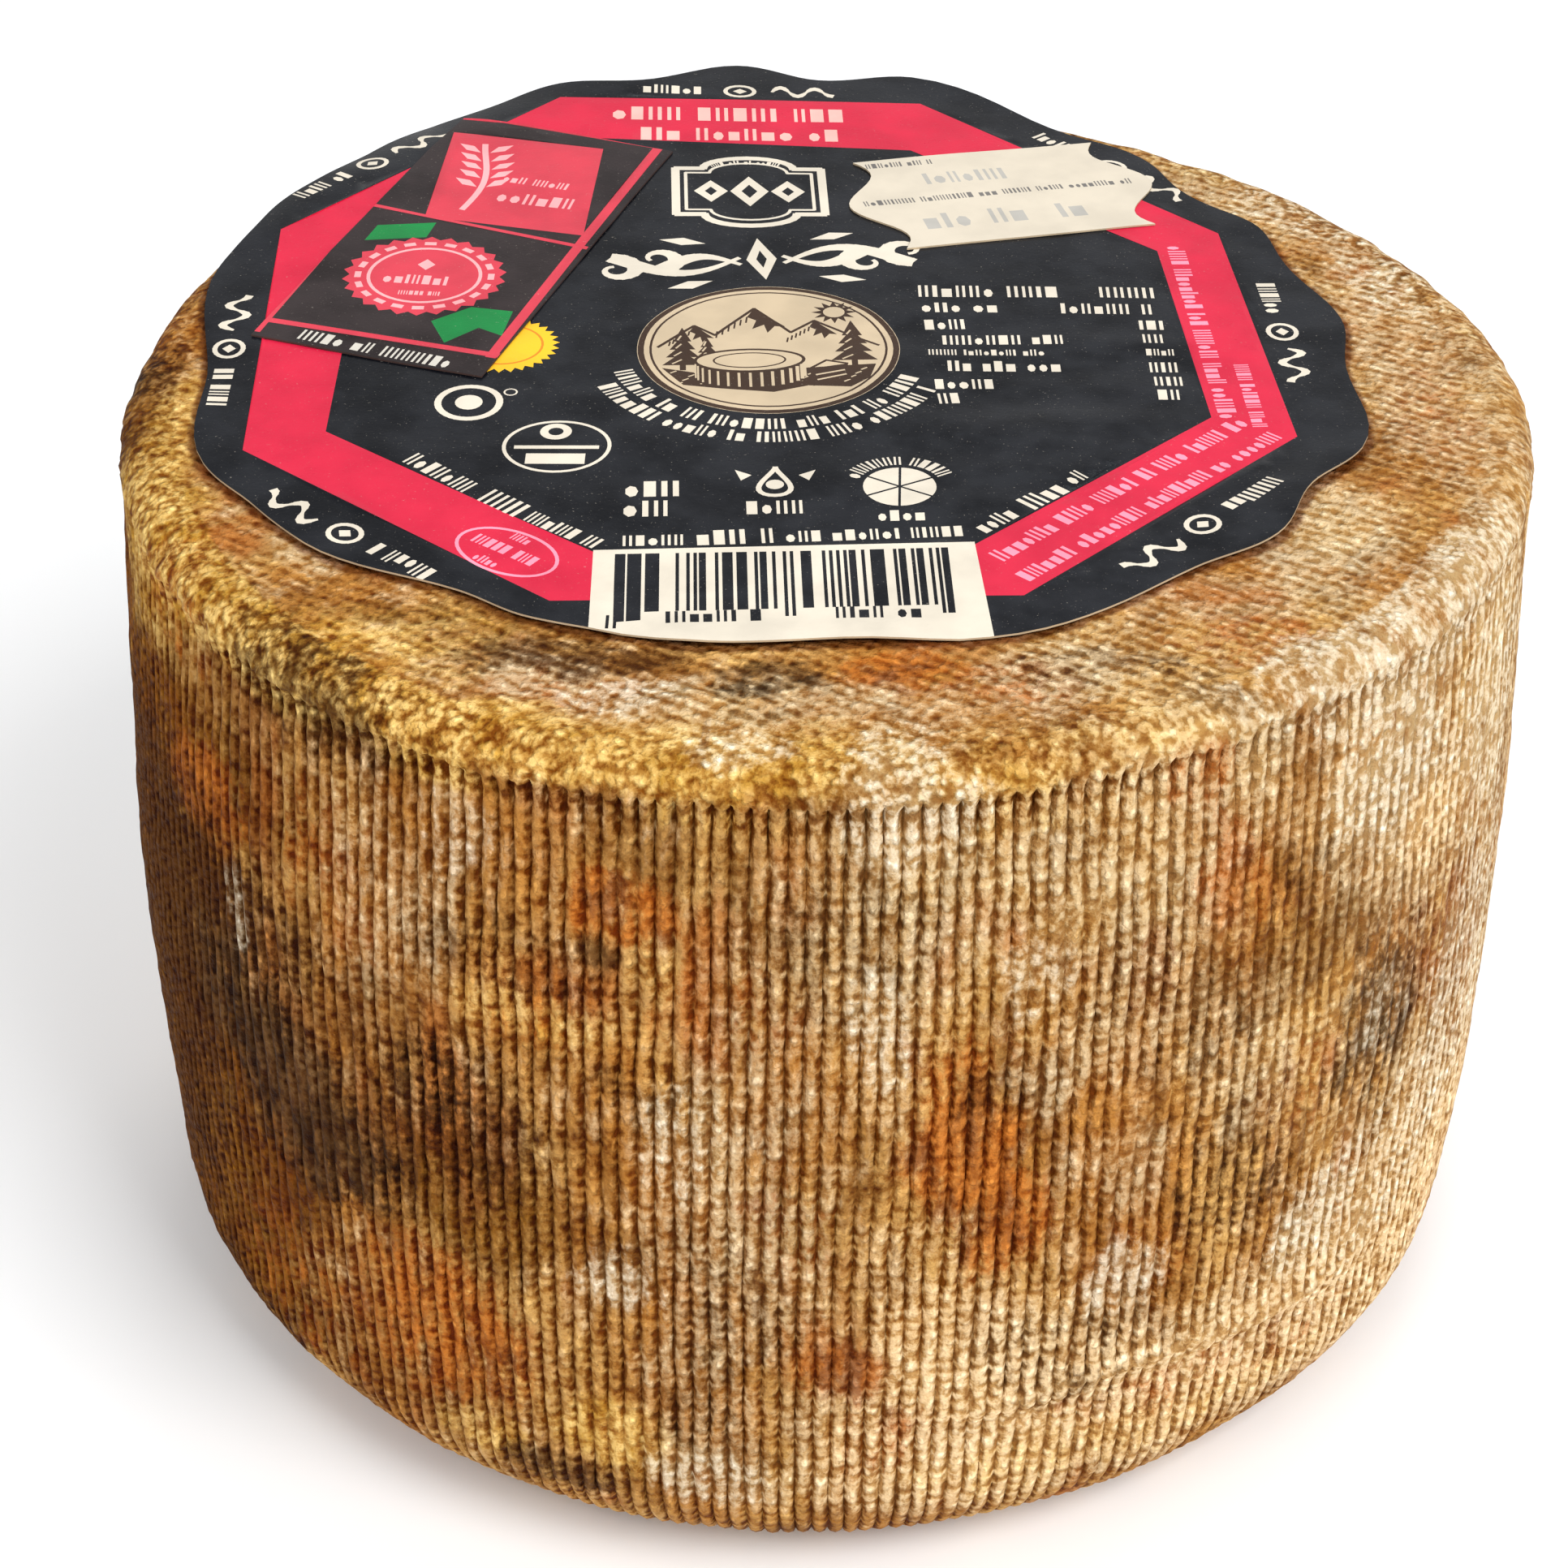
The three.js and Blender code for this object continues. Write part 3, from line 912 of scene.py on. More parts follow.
def lines(first_seed, *places):
    """Marks in several lines, each given by its two ends and its height: x, y, x, y, height."""
    return [shape for i, row in enumerate(places) for shape in words(*row, first_seed + i)]


def words_on_arc(x, y, radius, first, last, height, seed):
    """Marks in a row round a centre, between two angles in degrees, feet to the outside if
    the angles rise and to the inside if they fall."""
    way = 1 if last > first else -1
    shapes = []
    for at, outlines in letters(math.radians(abs(last - first)) * radius, height, seed):
        angle = math.radians(first) + way * at / radius
        spot = x + radius * math.cos(angle), y + radius * math.sin(angle)
        shapes += all_placed(outlines, *spot, angle + way * TAU / 4)
    return shapes


def inked(ink, *groups):
    """Shapes with their ink, from single shapes and lists of them."""
    shapes = []
    for group in groups:
        if isinstance(group[0][0], (int, float)):
            group = [group]
        shapes += [(ink, shape) for shape in group]
    return shapes


def coloured_band():
    """The band, its rows of print, and the oval mark at its lower left."""
    return inked("pink", BAND_OUTER) + inked("black", BAND_INNER) + inked(
        "blush", lines(1, (-19.8, 48.3, 3.9, 49.3, 2.7), (-17.0, 44.2, 2.0, 45.0, 2.5)),
    ) + inked(
        "pale_pink",
        lines(
            3, (29.9, 24.0, 31.6, -7.0, 1.5), (33.4, 2.5, 33.9, -8.0, 1.2),
            (12.4, -27.6, 33.0, -6.5, 1.6), (14.2, -30.4, 35.0, -9.0, 1.5),
        ),
        ring(-23.7, -26.6, 4.3, 0.28, 40, 0.62, -0.62),
        lines(
            7, (-26.2, -24.6, -21.4, -28.2, 1.2), (-23.4, -24.4, -21.6, -25.8, 0.9),
            (-26.0, -27.2, -24.0, -28.7, 0.9),
        ),
    )


def border_groups():
    """On the dark border beside each side of the band: a word, a small crest and a scroll."""
    places = (
        (-8.2, 53.9, 0.03), (-40.6, 37.0, 0.88), (-48.6, 3.5, 1.6), (-36.0, -24.0, 2.44),
        (28.0, -23.0, -2.32), (37.4, 8.3, -1.52), (25.5, 40.0, -0.8),
    )
    curl, widths = [], []
    for t in np.linspace(0, 1, 22):
        swing = math.sin(TAU * 1.75 * t)
        curl.append((3.0 + 5.6 * t, 1.0 * swing * (1 - 0.3 * t)))
        widths.append(0.25 + 0.45 * abs(swing))
    crest = [*ring(0, 0, 1.35, 0.4, 20, 0.85), diamond(0, 0, 1.3, 1.1)]
    shapes = []
    for i, place in enumerate(places):
        group = words(-9.0, 0, -2.9, 0, 1.6, 20 + i) + crest + stroke(curl, widths)
        shapes += inked("cream", all_placed(group, *place))
    return shapes


def framed(width, height, bulge):
    """The plaque's outline, with curved top and bottom."""
    w, h = width / 2, height / 2
    angles = np.linspace(0, TAU / 2, 15)
    rounds = [(w * 0.62 * math.cos(a), h + bulge * math.sin(a)) for a in angles]
    top = [(w, h), *rounds, (-w, h)]
    return placed(top + [(-px, -py) for px, py in top], *PLAQUE, LABEL_TURN)


def plaque():
    """A framed panel with curved top and bottom, and three diamonds in it."""
    shapes = inked(
        "cream",
        stroke(framed(13.0, 9.0, 2.2), 0.75, closed=True),
        stroke(framed(11.2, 7.2, 2.0), 0.3, closed=True),
    )
    for ink, *diamonds in (
        ("cream", (-3.4, 0, 3.0, 4.2), (0, 0, 3.4, 5.8), (3.4, 0, 3.0, 4.2)),
        ("black", (0, 0, 1.4, 2.6), (-3.4, 0, 1.1, 1.7), (3.4, 0, 1.1, 1.7)),
    ):
        shapes += inked(ink, all_placed([diamond(*d) for d in diamonds], *PLAQUE, LABEL_TURN))
    return shapes + inked("cream", words_on_arc(-6.9, 30.6, 8.2, 116, 69, 0.8, 31))


def scroll_line(turns, reach, grow):
    """A scroll from the middle outward: a long wave that ends in a curl."""
    line = [(reach * t, grow * math.sin(TAU * 0.55 * t)) for t in np.linspace(0.0, 1, 16)]
    x, y = line[-1]
    curl_radius = 2.1
    for t in np.linspace(0, 1, 18)[1:]:
        angle = -TAU / 4 - TAU * turns * t
        radius = curl_radius * (1 - 0.72 * t)
        line.append((x + radius * math.cos(angle), y + curl_radius + radius * math.sin(angle)))
    return line


def flourish():
    """The large ornament over the medallion: scrolls to both sides of a diamond."""
    shapes = inked("cream", placed(diamond(0, 0.2, 2.6, 7.6), *FLOURISH))
    shapes += inked("black", placed(diamond(0, 0.2, 0.9, 3.2), *FLOURISH))
    for side in (1, -1):
        for rise, turns, reach, grow in ((1, 0.95, 10.6, 2.4), (-1, 0.8, 7.0, 1.7)):
            line = scroll_line(turns, reach, grow)
            ends = [math.sin(math.pi * min(1, (i + 2) / len(line))) for i in range(len(line))]
            widths = [0.4 + 1.25 * end ** 2 for end in ends]
            line = [(side * (1.9 + px), side * rise * (py - 0.6)) for px, py in line]
            shapes += inked("cream", all_placed(stroke(line, widths), *FLOURISH))
        leaf = [(side * px, py) for px, py in ((4.5, 3.4), (6.3, 4.6), (8.4, 4.4), (6.6, 3.3))]
        mirrored = [(px, -py) for px, py in leaf]
        shapes += inked("cream", all_placed([leaf, mirrored], *FLOURISH))
    return shapes


def on_medallion(points):
    return placed(points, *MEDALLION, LABEL_TURN)


def filled(points, ink="brown"):
    return inked(ink, on_medallion(points))


def engraved(*strokes, width=0.22, ink="brown"):
    """Lines of the medallion's picture, in millimetres from its middle."""
    return inked(ink, [piece for points in strokes for piece in stroke(on_medallion(points), width)])


def engraved_peaks():
    """Three peaks behind, each with a jagged shaded face, and a sun."""
    ridge = [(-9.0, 0.4), (-6.0, 3.8), (-4.3, 2.2), (-1.0, 6.8), (1.9, 2.6), (3.9, 4.6), (9.0, 0.2)]
    shapes = engraved(ridge, width=0.28)
    face = (
        (0, 0), (-0.5, -1.2), (0.1, -1.7), (-0.2, -2.9), (0.6, -2.3), (0.8, -3.4), (1.3, -2.5),
        (2.0, -2.6),
    )
    for x, y, size in ((-6.0, 3.8, 0.8), (-1.0, 6.8, 1.25), (3.9, 4.6, 0.9)):
        shapes += filled([(x + size * px, y + size * py) for px, py in face])
        for i in range(6):
            foot = x - size * (0.5 + 0.4 * i)
            high, low = y - size * (1.2 + 0.4 * i), y - size * (2.0 + 0.4 * i)
            shapes += engraved([(foot, high), (foot - 0.1, low)], width=0.15)
    return shapes + filled(star(5.6, 6.0, 1.9, 1.1, 12)) + filled(disc(5.6, 6.0, 0.9, 20), "beige")


def engraved_tree(x, y, height):
    """A fir in four tiers with pale strokes in them."""
    shapes = engraved([(x, y), (x, y + 0.3 * height)], width=0.5)
    for tier in range(4):
        base = y + height * (0.12 + 0.21 * tier)
        half = height * (0.27 - 0.05 * tier)
        shapes += filled([(x - half, base), (x + half, base), (x, base + 0.36 * height)])
        glint = [(x - 0.5 * half, base + 0.25), (x - 0.1, base + 0.9)]
        shapes += engraved(glint, width=0.16, ink="beige")
    return shapes


def engraved_wheel():
    """A wheel of cheese with a ribbed side, and a wedge beside it."""
    x, y, wide, deep, tall = -1.6, -2.0, 4.4, 1.8, 2.9
    angles = np.linspace(0, TAU / 2, 17)
    front = [(x - wide * math.cos(a), y - tall - deep * math.sin(a)) for a in angles]
    shapes = filled([(x - wide, y), *front, (x + wide, y)])
    for i in range(15):
        angle = TAU / 2 * (i + 0.5) / 15
        px, py = x - wide * math.cos(angle), y - deep * math.sin(angle)
        rib = [(px, py - 0.3), (px, py - tall + 0.35)]
        shapes += engraved(rib, width=0.14 + 0.012 * i, ink="beige")
    top = on_medallion(disc(x, y, wide, 36, deep / wide))
    inner = on_medallion(disc(x, y, 0.66 * wide, 30, deep / wide))
    shapes += inked("beige", top)
    shapes += inked("brown", stroke(top, 0.28, closed=True), stroke(inner, 0.16, closed=True))
    shapes += filled([(3.2, -3.6), (6.3, -2.9), (6.5, -5.4), (3.4, -6.4)])
    shapes += engraved([(3.7, -4.6), (6.0, -3.9)], [(3.8, -5.4), (6.1, -4.6)], width=0.2, ink="beige")
    return shapes + engraved([(3.2, -3.6), (4.6, -2.3), (6.3, -2.9)], width=0.25)


def engraved_ground():
    """A strip of dark ground with pale tufts."""
    shapes = filled([
        (-8.7, -3.1), (-6.0, -3.9), (2.0, -3.5), (8.6, -3.0), (8.0, -5.2), (6.4, -6.6),
        (3.0, -6.3), (0.2, -7.3), (-4.0, -6.6), (-7.0, -5.9),
    ])
    for i in range(34):
        x = -8.0 + 0.48 * i
        y = -3.9 - 0.62 * ((i * 7) % 4)
        shapes += engraved([(x, y), (x + 0.45, y + 0.3)], width=0.15, ink="beige")
    return shapes


def medallion():
    """A beige disc with a picture in line work inside two rings, and rows of print below."""
    shapes = inked("beige", disc(*MEDALLION, 10.7, 72))
    shapes += inked("brown", ring(*MEDALLION, 10.4, 0.5, 64), ring(*MEDALLION, 9.6, 0.2, 64))
    shapes += engraved_peaks() + engraved_ground()
    for x, y, height in ((-7.0, -3.4, 6.2), (6.9, -3.2, 7.0), (-5.0, -3.0, 4.4)):
        shapes += engraved_tree(x, y, height)
    shapes += engraved_wheel()
    for radius, first, last, seed in ((12.3, 199, 341, 41), (14.3, 206, 334, 42)):
        shapes += inked("cream", words_on_arc(*MEDALLION, radius, first, last, 1.6, seed))
    return shapes


def table_rows():
    """Eight short rows at the right, each with a column of print at either end."""
    shapes = []
    for i, (left, left_end, left_y, right, right_end, right_y, height) in enumerate((
        (7.6, 21.2, 14.8, 22.8, 27.9, 15.1, 2.0), (7.8, 15.0, 11.8, 19.4, 28.0, 12.0, 1.8),
        (8.0, 11.6, 8.8, 25.7, 28.0, 9.2, 1.6), (9.4, 19.6, 6.2, 25.8, 28.1, 6.7, 1.6),
        (8.2, 18.2, 4.0, 25.9, 28.2, 4.4, 1.0), (9.7, 19.8, 1.8, 26.0, 28.3, 2.0, 1.6),
        (8.6, 13.4, -1.3, 26.2, 28.5, -0.4, 1.6), (8.8, 10.8, -3.6, 26.3, 28.6, -2.7, 1.6),
    )):
        shapes += inked("cream", words(left, left_y, left_end, left_y + 0.2, height, 50 + i))
        shapes += inked("cream", words(right, right_y, right_end, right_y, height, 60 + i))
    return shapes


def drop_mark():
    """A drop with a dot in it, between two leaves."""
    edge = []
    for a in np.linspace(0, TAU, 29)[:-1]:
        bulge = 1 - math.cos(a)
        edge.append((-1.9 * math.sin(a) * bulge / 2, 1.9 - 2.1 * bulge))
    x, y = DROP
    shapes = [*stroke(placed(edge, x, y), 0.42, closed=True), disc(x, y - 0.7, 0.7, 16)]
    for side in (1, -1):
        leaf = [(side * 1.8, 0.9), (side * 3.1, 1.7), (side * 2.6, 0.1)]
        shapes.append(placed(leaf, x, y - 0.2))
    return inked("cream", shapes)


def small_marks():
    """The row of little marks under the medallion."""
    x, y = OVAL_SEAL
    shapes = inked(
        "cream",
        ring(-28.4, -4.8, 2.45, 0.55, 36), disc(-28.4, -4.8, 1.1, 20), ring(-25.2, -3.2, 0.5, 0.14, 16),
        ring(x, y, 4.1, 0.3, 44, 0.92), disc(x - 0.2, y + 2.2, 1.25, 24),
        slab(x, y - 0.2, 6.6, 0.5), slab(x, y - 1.9, 4.6, 1.5),
    )
    shapes += inked("black", disc(x - 0.2, y + 2.2, 0.6, 16))
    shapes += inked("cream", lines(71, (-15.4, -17.8, -10.6, -17.6, 2.3), (-15.4, -20.7, -10.4, -20.5, 2.3)))
    shapes += drop_mark() + inked("cream", words(-6.1, -20.5, -1.3, -20.3, 1.9, 73))
    x, y = BARRED_DISC
    shapes += inked("cream", disc(x, y, 2.8, 36))
    for i in range(3):
        angle = TAU * i / 6 + 0.5
        c, s = 2.8 * math.cos(angle), 2.8 * math.sin(angle)
        shapes += inked("black", stroke([(x - c, y - s), (x + c, y + s)], 0.2))
    arc = words_on_arc(x, y, 3.9, 160, 20, 1.3, 74)
    return shapes + inked("cream", arc, words(3.8, -21.6, 7.5, -21.5, 1.5, 75))


def edge_lines():
    """The line of print that follows the band's lower inner edge."""
    return inked("cream", lines(
        81, (-32.2, -13.2, -26.6, -18.2, 1.7), (-25.9, -18.6, -22.9, -21.1, 2.0),
        (-22.4, -21.6, -16.8, -25.8, 1.5), (-15.2, -25.2, -10.3, -25.0, 1.5),
        (-9.7, -24.8, -3.9, -24.4, 2.0), (-3.1, -24.6, 10.2, -23.8, 1.5),
        (11.3, -23.6, 14.6, -20.5, 1.6), (14.9, -20.2, 18.2, -16.9, 2.0),
        (18.3, -16.6, 19.8, -15.2, 1.5),
    ))


def bar_field():
    """The pale field at the lower edge with a row of bars of chance widths."""
    shapes = inked("cream", ((-17.3, -26.5), (10.9, -25.4), (12.0, -40.5), (-17.0, -40.5)))
    draw = random.Random(5)
    place, module, number = -12.4, 0.263, 0
    while place < 12.2:
        width = module * draw.choice((1, 1, 2, 2, 3, 4))
        length = 9.0 if number in (0, 1, 13, 14, 28, 29) else 7.9
        bar = slab(place, -0.4 - length / 2, width, length)
        shapes += inked("black", placed(bar, -2.9, -26.2, 0.035))
        place += width + module * draw.choice((1, 1, 1, 2, 3))
        number += 1
    return shapes + inked(
        "black",
        words(-15.9, -36.0, -14.6, -36.0, 1.7, 84), words(-11.6, -35.7, -4.5, -35.4, 1.7, 88),
        words(0.6, -35.2, 7.6, -35.0, 1.7, 100),
    )


def toothed_disc():
    """The yellow round mark that the dark sticker half covers."""
    x, y = -26.4, 4.6
    return inked("yellow", star(x, y, 4.6, 4.0, 30)) + inked("orange", ring(x, y, 3.2, 0.2, 36))


def label_print():
    return (
        coloured_band() + border_groups() + plaque() + flourish() + medallion()
        + table_rows() + small_marks() + edge_lines() + bar_field() + toothed_disc()
    )


def seal_panel():
    """A red panel with a leafy stem and two rows of print, and two scraps of green."""
    shapes = inked("red", [(-33.9, 43.3), (-20.2, 40.4), (-21.0, 23.4), (-34.9, 26.5)])
    shares = np.linspace(0, 1, 16)
    stem = [(-31.8 + 1.6 * t + 0.8 * math.sin(4 * t), 28.0 + 12.5 * t) for t in shares]
    shapes += inked("blush", stroke(stem, 0.55))
    for x, y in stem[5:14:2]:
        for side in (1, -1):
            shapes += inked("blush", diamond(x + 1.4 * side, y + 0.9, 2.6, 1.0, side * 0.7))
    shapes += inked("blush", lines(91, (-28.6, 34.0, -22.2, 32.4, 1.2), (-28.9, 30.6, -20.6, 29.0, 1.9)))
    return shapes + inked(
        "green",
        [(-39.6, 21.8), (-38.8, 24.7), (-33.8, 25.4), (-34.4, 22.6)],
        [(-32.6, 8.0), (-29.5, 10.4), (-26.0, 9.8), (-26.6, 5.6), (-28.6, 6.9), (-31.2, 4.4)],
    )


def rosette():
    """A red toothed disc with a ring, a wreath of short marks, a diamond and print."""
    x, y = ROSETTE
    shapes = inked("red", star(x, y, 6.9, 6.3, 26)) + inked("blush", ring(x, y, 4.7, 0.3, 44))
    for i in range(20):
        angle = TAU * i / 20
        spot = x + 5.6 * math.cos(angle), y + 5.6 * math.sin(angle)
        shapes += inked("blush", slab(*spot, 1.0, 0.55, angle + TAU / 4))
    return shapes + inked(
        "blush", diamond(x, y + 1.9, 1.5, 1.9),
        words(x - 3.4, y - 0.5, x + 3.4, y - 1.0, 1.5, 95),
        words(x - 1.9, y - 3.0, x + 2.0, y - 3.2, 0.7, 96),
    )


def seal_print():
    """The dark sticker: a red panel over a rosette, in thin frame lines, and a strip below."""
    shapes = []
    for x0, y0, x1, y1, width in (
        (-34.6, 46.8, -46.6, 6.0, 0.5), (-15.2, 41.2, -27.2, 2.2, 0.9),
        (-34.4, 47.1, -14.9, 40.9, 0.5), (-39.6, 28.4, -20.6, 21.2, 0.5),
        (-46.1, 7.9, -26.4, 2.3, 0.7),
    ):
        shapes += inked("red", stroke([(x0, y0), (x1, y1)], width))
    return shapes + seal_panel() + rosette() + inked("cream", words(-43.0, 5.6, -30.2, 1.0, 1.6, 97))


def date_print():
    """The pale sticker: faint rows of marks, as a worn stamp leaves them."""
    return inked("faint", lines(
        101, (8.6, 36.0, 17.4, 38.2, 2.2), (8.4, 27.4, 12.6, 28.4, 2.8),
        (14.2, 28.9, 17.8, 29.7, 2.8), (20.2, 30.2, 23.4, 31.0, 2.8),
    )) + inked("grey", lines(105, (3.4, 38.2, 9.6, 39.6, 0.9), (3.2, 30.6, 27.2, 36.9, 1.0)))


def label_outline():
    """The label's edge in plan, eight points from each tip to the next dip."""
    points = []
    angles = [angle for angle, _ in LABEL_EDGE] + [360]
    for first, following in zip(angles, angles[1:]):
        turns = np.radians(np.linspace(first, following, 9)[:-1])
        points += [(r * math.cos(a), r * math.sin(a)) for a, r in zip(turns, label_reach(turns))]
    return placed(points, *LABEL_CENTRE)


def sticker_outline(place, end_shape):
    """A rectangle whose short ends stand out by end_shape, from -1 at one corner to 1."""
    points = []
    half_length, half_width = place["length"] / 2, place["width"] / 2
    for side in (1, -1):
        for across in np.linspace(-1, 1, 25)[:-1]:
            points.append((side * (half_length + end_shape(across)), side * across * half_width))
        for along in np.linspace(1, -1, 13)[:-1]:
            points.append((side * along * half_length, side * half_width))
    return placed(points, place["x"], place["y"], place["turn"])


def straight_end(across):
    return 0.0


def date_end(across):
    return DATE_END["mean"] + DATE_END["swing"] * math.cos(DATE_END["waves"] * math.pi * across)


def label_height(spots):
    """Height of the label's face at each spot: rippled, lifting a little at its edge in
    places, and bent down over the rim at the left."""
    x, y = spots.T
    angle = np.degrees(np.arctan2(y, x)) % 360
    inside = -distance_outside_label(spots)
    ripples = field(np.c_[x / 4, y, 0 * x], 3.6, 41, 1)
    calm = 0.08 + 0.26 * np.exp(-(((x - 17) / 14) ** 2) - ((y + 4) / 11) ** 2)
    lifting = np.clip(0.2 + field(np.c_[spots, 0 * x], 13, 42, 1) * 1.6, 0, 1)
    rim_lift = 0.45 * smooth(1 - inside / 5) * lifting
    at_left = smooth((angle - 112) / 14) * smooth((215 - angle) / 10)
    droop = 0.02 * np.clip(np.hypot(x, y) - 51.8, 0, None) ** 2 * at_left
    return HEIGHT + top_rise(x, y) + LABEL_LIFT + calm * ripples + rim_lift - droop


def sticker_height(spots):
    """Height of a sticker's face: on the label, a little above it, with a faint unevenness."""
    x, y = spots.T
    return label_height(spots) + STICKER_LIFT + 0.05 * field(np.c_[spots, 0 * x], 8, 43, 1)


def anticlockwise(points):
    x, y = np.array(points).T
    return points if np.dot(x, np.roll(y, -1)) > np.dot(y, np.roll(x, -1)) else points[::-1]


def divided_plan(outline, shapes):
    """Triangles over an outline, divided along the edges of shapes in it: the spots, and each
    face's corners with the number of its topmost shape, 0 for none."""
    spots, loops = [], []
    for points in (outline, *shapes):
        loops.append(list(range(len(spots), len(spots) + len(points))))
        spots += anticlockwise(points)
    low, high = np.min(outline, 0), np.max(outline, 0)
    ticks = [np.arange(low[axis], high[axis], SHEET_STEP) for axis in (0, 1)]
    spots += [tuple(spot) for spot in np.stack(np.meshgrid(*ticks), -1).reshape(-1, 2)]
    found, _, triangles, _, _, origins = delaunay_2d_cdt([Vector(s) for s in spots], [], loops, 0, 1e-5)
    kept = [(face, max(origin)) for face, origin in zip(triangles, origins) if 0 in origin]
    used = sorted({i for face, _ in kept for i in face})
    number = {old: new for new, old in enumerate(used)}
    plan = np.array([tuple(found[i]) for i in used])
    return plan, [([number[i] for i in face], shape) for face, shape in kept]


def build_sheet(name, outline, shapes, base_ink, height_at, materials):
    """A closed thin sheet, its upper face divided where the print changes colour."""
    plan, upper_faces = divided_plan(outline, [points for _, points in shapes])
    height = height_at(plan)
    points = np.concatenate([np.c_[plan, height] * MM, np.c_[plan, height - PAPER] * MM])
    count = len(plan)
    ink_names = [base_ink] + [ink for ink, _ in shapes]
    faces, face_inks, edges = [], [], set()
    for corners, shape in upper_faces:
        faces += [corners, [i + count for i in reversed(corners)]]
        face_inks += [ink_names[shape], "paper"]
        edges.update(zip(corners, corners[1:] + corners[:1]))
    for a, b in sorted(edges):
        if (b, a) not in edges:
            faces.append([b, a, a + count, b + count])
            face_inks.append("paper")

    mesh = bpy.data.meshes.new(name)
    mesh.from_pydata([tuple(p) for p in points], [], faces)
    for material in materials.values():
        mesh.materials.append(material)
    slots = list(materials)
    mesh.polygons.foreach_set("material_index", [slots.index(ink) for ink in face_inks])
    mesh.shade_smooth()
    mesh.set_sharp_from_angle(angle=math.radians(50))
    return new_object(name, mesh)


# Printed inks: colour, roughness, and how much the colour wanders
INKS = {
    "paper": (srgb(196, 176, 146), 0.75, 0.12),
    "black": (srgb(7, 10, 18), 0.22, 0.3),
    "pink": (srgb(210, 32, 64), 0.32, 0.08),
    "pale_pink": (srgb(250, 150, 172), 0.5, 0.1),
    "blush": (srgb(246, 186, 176), 0.5, 0.1),
    "cream": (srgb(222, 212, 194), 0.5, 0.08),
    "beige": (srgb(200, 180, 150), 0.5, 0.08),
    "brown": (srgb(62, 44, 32), 0.5, 0.1),
    "yellow": (srgb(244, 190, 40), 0.45, 0.1),
    "orange": (srgb(226, 130, 30), 0.45, 0.1),
}
SEAL_INKS = {
    "paper": (srgb(74, 56, 52), 0.7, 0.12),
    "seal_black": (srgb(40, 30, 30), 0.4, 0.3),
    "red": (srgb(208, 62, 78), 0.42, 0.1),
    "blush": (srgb(250, 170, 172), 0.5, 0.1),
    "green": (srgb(20, 128, 62), 0.45, 0.15),
    "cream": (srgb(214, 208, 196), 0.5, 0.08),
}
DATE_INKS = {
    "paper": INKS["paper"],
    "date_cream": (srgb(214, 203, 184), 0.6, 0.06),
    "faint": (srgb(180, 176, 168), 0.6, 0.08),
    "grey": (srgb(116, 112, 108), 0.6, 0.1),
}
WORN_PAPER = srgb(200, 190, 176)


def ink_material(name, colour, roughness, wander):
    """Print on paper: the colour wanders a little, with worn specks, and a fine tooth."""
    g = Graph(name, 0.13)
    place = g.position()
    worn = g.noise(place, 0.22, 2, 0.6)
    cloud = g.noise(place, 6, 3, 0.55)
    paler = tuple(min(1, c * (1 + wander) + 0.03 * wander) for c in colour[:3]) + (1,)
    deeper = tuple(c * (1 - wander) for c in colour[:3]) + (1,)
    shade = g.mix(g.span(cloud, 0.3, 0.7), deeper, paler)
    shade = g.mix(g.span(worn, 0.66, 0.8, 0, 0.35), shade, WORN_PAPER)
    rough = g.span(g.noise(place, 3, 3, 0.6), 0.3, 0.7, roughness - 0.07, roughness + 0.08)
    tooth = g.add(g.noise(place, 0.3, 2), g.noise(place, 2.2, 1))
    return g.finish(shade, rough, g.bump(tooth, 0.03, 0.6))


def inks(group):
    return {name: ink_material("ink_" + name, *values) for name, values in group.items()}


# Camera, light and floor

def direction(azimuth, elevation):
    """Toward the viewer at azimuth 0, to the right at a quarter turn, and up with elevation."""
    return Vector((
        math.sin(azimuth) * math.cos(elevation),
        -math.cos(azimuth) * math.cos(elevation),
        math.sin(elevation),
    ))


def place_camera():
    back = direction(CAMERA_AZIMUTH, CAMERA_ELEVATION)
    level_right = Vector((math.cos(CAMERA_AZIMUTH), math.sin(CAMERA_AZIMUTH), 0))
    level_up = back.cross(level_right)
    right = math.cos(CAMERA_ROLL) * level_right + math.sin(CAMERA_ROLL) * level_up
    up = math.cos(CAMERA_ROLL) * level_up - math.sin(CAMERA_ROLL) * level_right
    place = back * CAMERA_DISTANCE + level_right * CAMERA_RIGHT + level_up * CAMERA_UP
    place = (place + Vector((0, 0, HEIGHT))) * MM
    data = bpy.data.cameras.new("camera")
    data.lens = CAMERA_LENS
    data.sensor_width = 36
    data.clip_start = 0.01
    camera = new_object("camera", data)
    camera.matrix_world = Matrix.Translation(place) @ Matrix((right, up, back)).transposed().to_4x4()
    bpy.context.scene.camera = camera


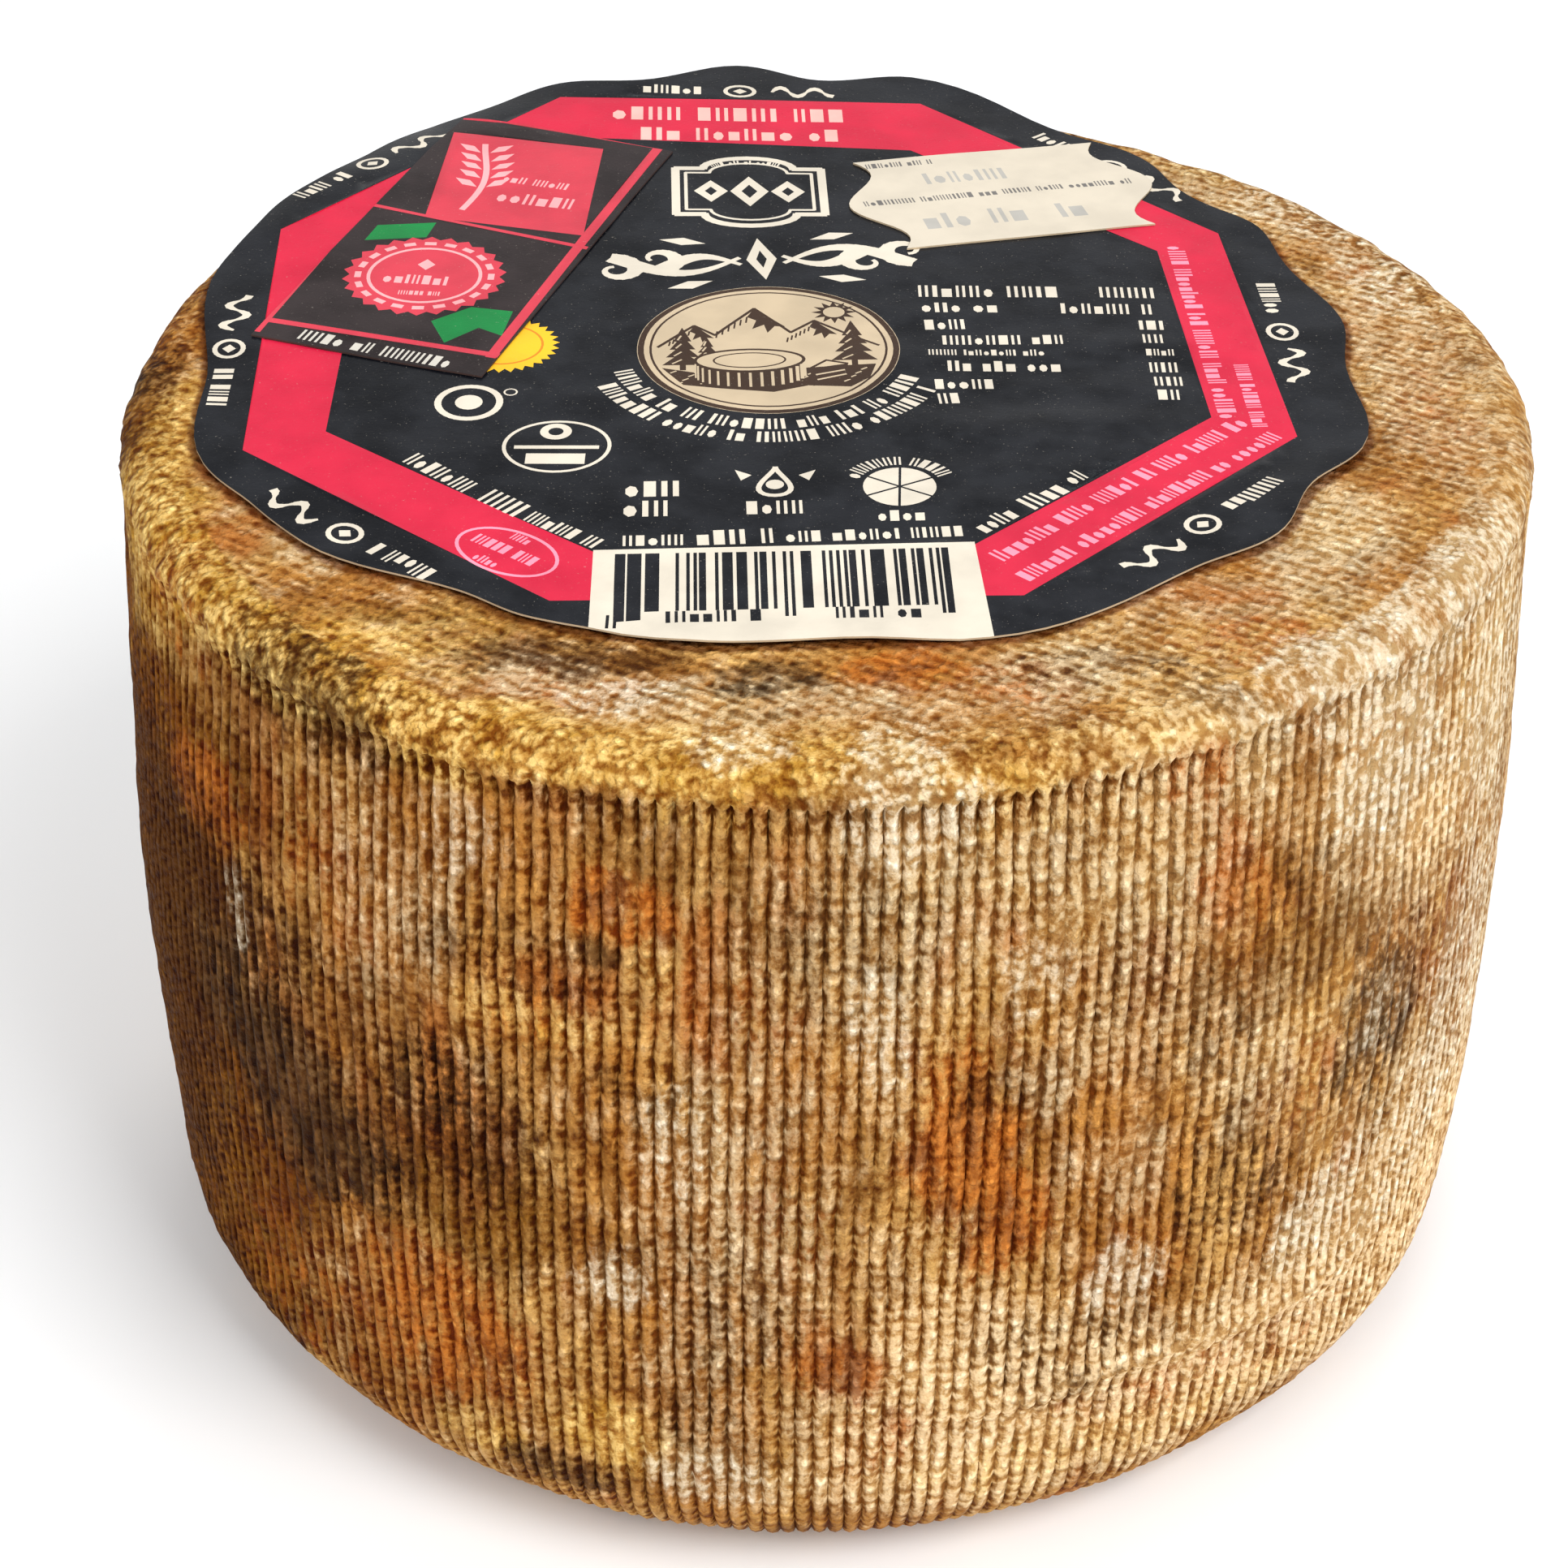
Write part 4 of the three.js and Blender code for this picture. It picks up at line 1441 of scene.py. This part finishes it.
def add_light(name, azimuth, elevation, size, power, colour=(1, 1, 1)):
    """A soft square light, at angles in degrees."""
    data = bpy.data.lights.new(name, "AREA")
    data.size = size
    data.energy = power
    data.color = colour
    light = new_object(name, data)
    toward = direction(math.radians(azimuth), math.radians(elevation))
    light.location = Vector(LIGHT_AIM) + LIGHT_DISTANCE * toward
    light.rotation_euler = toward.to_track_quat("Z", "Y").to_euler()


def light_scene():
    add_light("key", 45, 48, 0.6, 9.8)
    add_light("front", -25, 40, 0.7, 4.0)
    add_light("back", 168, 57, 0.5, 2.4, (0.88, 0.94, 1.0))
    world = bpy.data.worlds.new("room")
    world.use_nodes = True
    background = world.node_tree.nodes["Background"]
    background.inputs["Color"].default_value = (1, 1, 1, 1)
    background.inputs["Strength"].default_value = 0.6
    bpy.context.scene.world = world
    bpy.context.scene.view_settings.view_transform = "Standard"


def lay_floor():
    mesh = bpy.data.meshes.new("floor")
    corners = [(FLOOR_HALF * x, FLOOR_HALF * y, 0) for x, y in ((-1, -1), (1, -1), (1, 1), (-1, 1))]
    mesh.from_pydata(corners, [], [(0, 1, 2, 3)])
    g = Graph("floor")
    colour = g.mix(g.noise(g.position(), 60), srgb(250, 250, 250), srgb(252, 252, 252))
    mesh.materials.append(g.finish(colour, 0.9, g.bump(g.noise(g.position(), 2), 0.02)))
    new_object("floor", mesh)


rind = build_rind()
rind.data.materials.append(rind_material())
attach(rind, "root")
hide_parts("cheese_wheel")

label = build_sheet("label", label_outline(), label_print(), "black", label_height, inks(INKS))
seal = build_sheet(
    "seal", sticker_outline(SEAL, straight_end), seal_print(), "seal_black", sticker_height,
    inks(SEAL_INKS),
)
date = build_sheet(
    "date", sticker_outline(DATE, date_end), date_print(), "date_cream", sticker_height,
    inks(DATE_INKS),
)
for piece, node, slot in (
    (label, "paper_label", "label_paper"),
    (seal, "seal_sticker", "seal_paper"),
    (date, "date_sticker", "date_paper"),
):
    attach(piece, "root")
    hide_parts(node)

place_camera()
light_scene()
lay_floor()
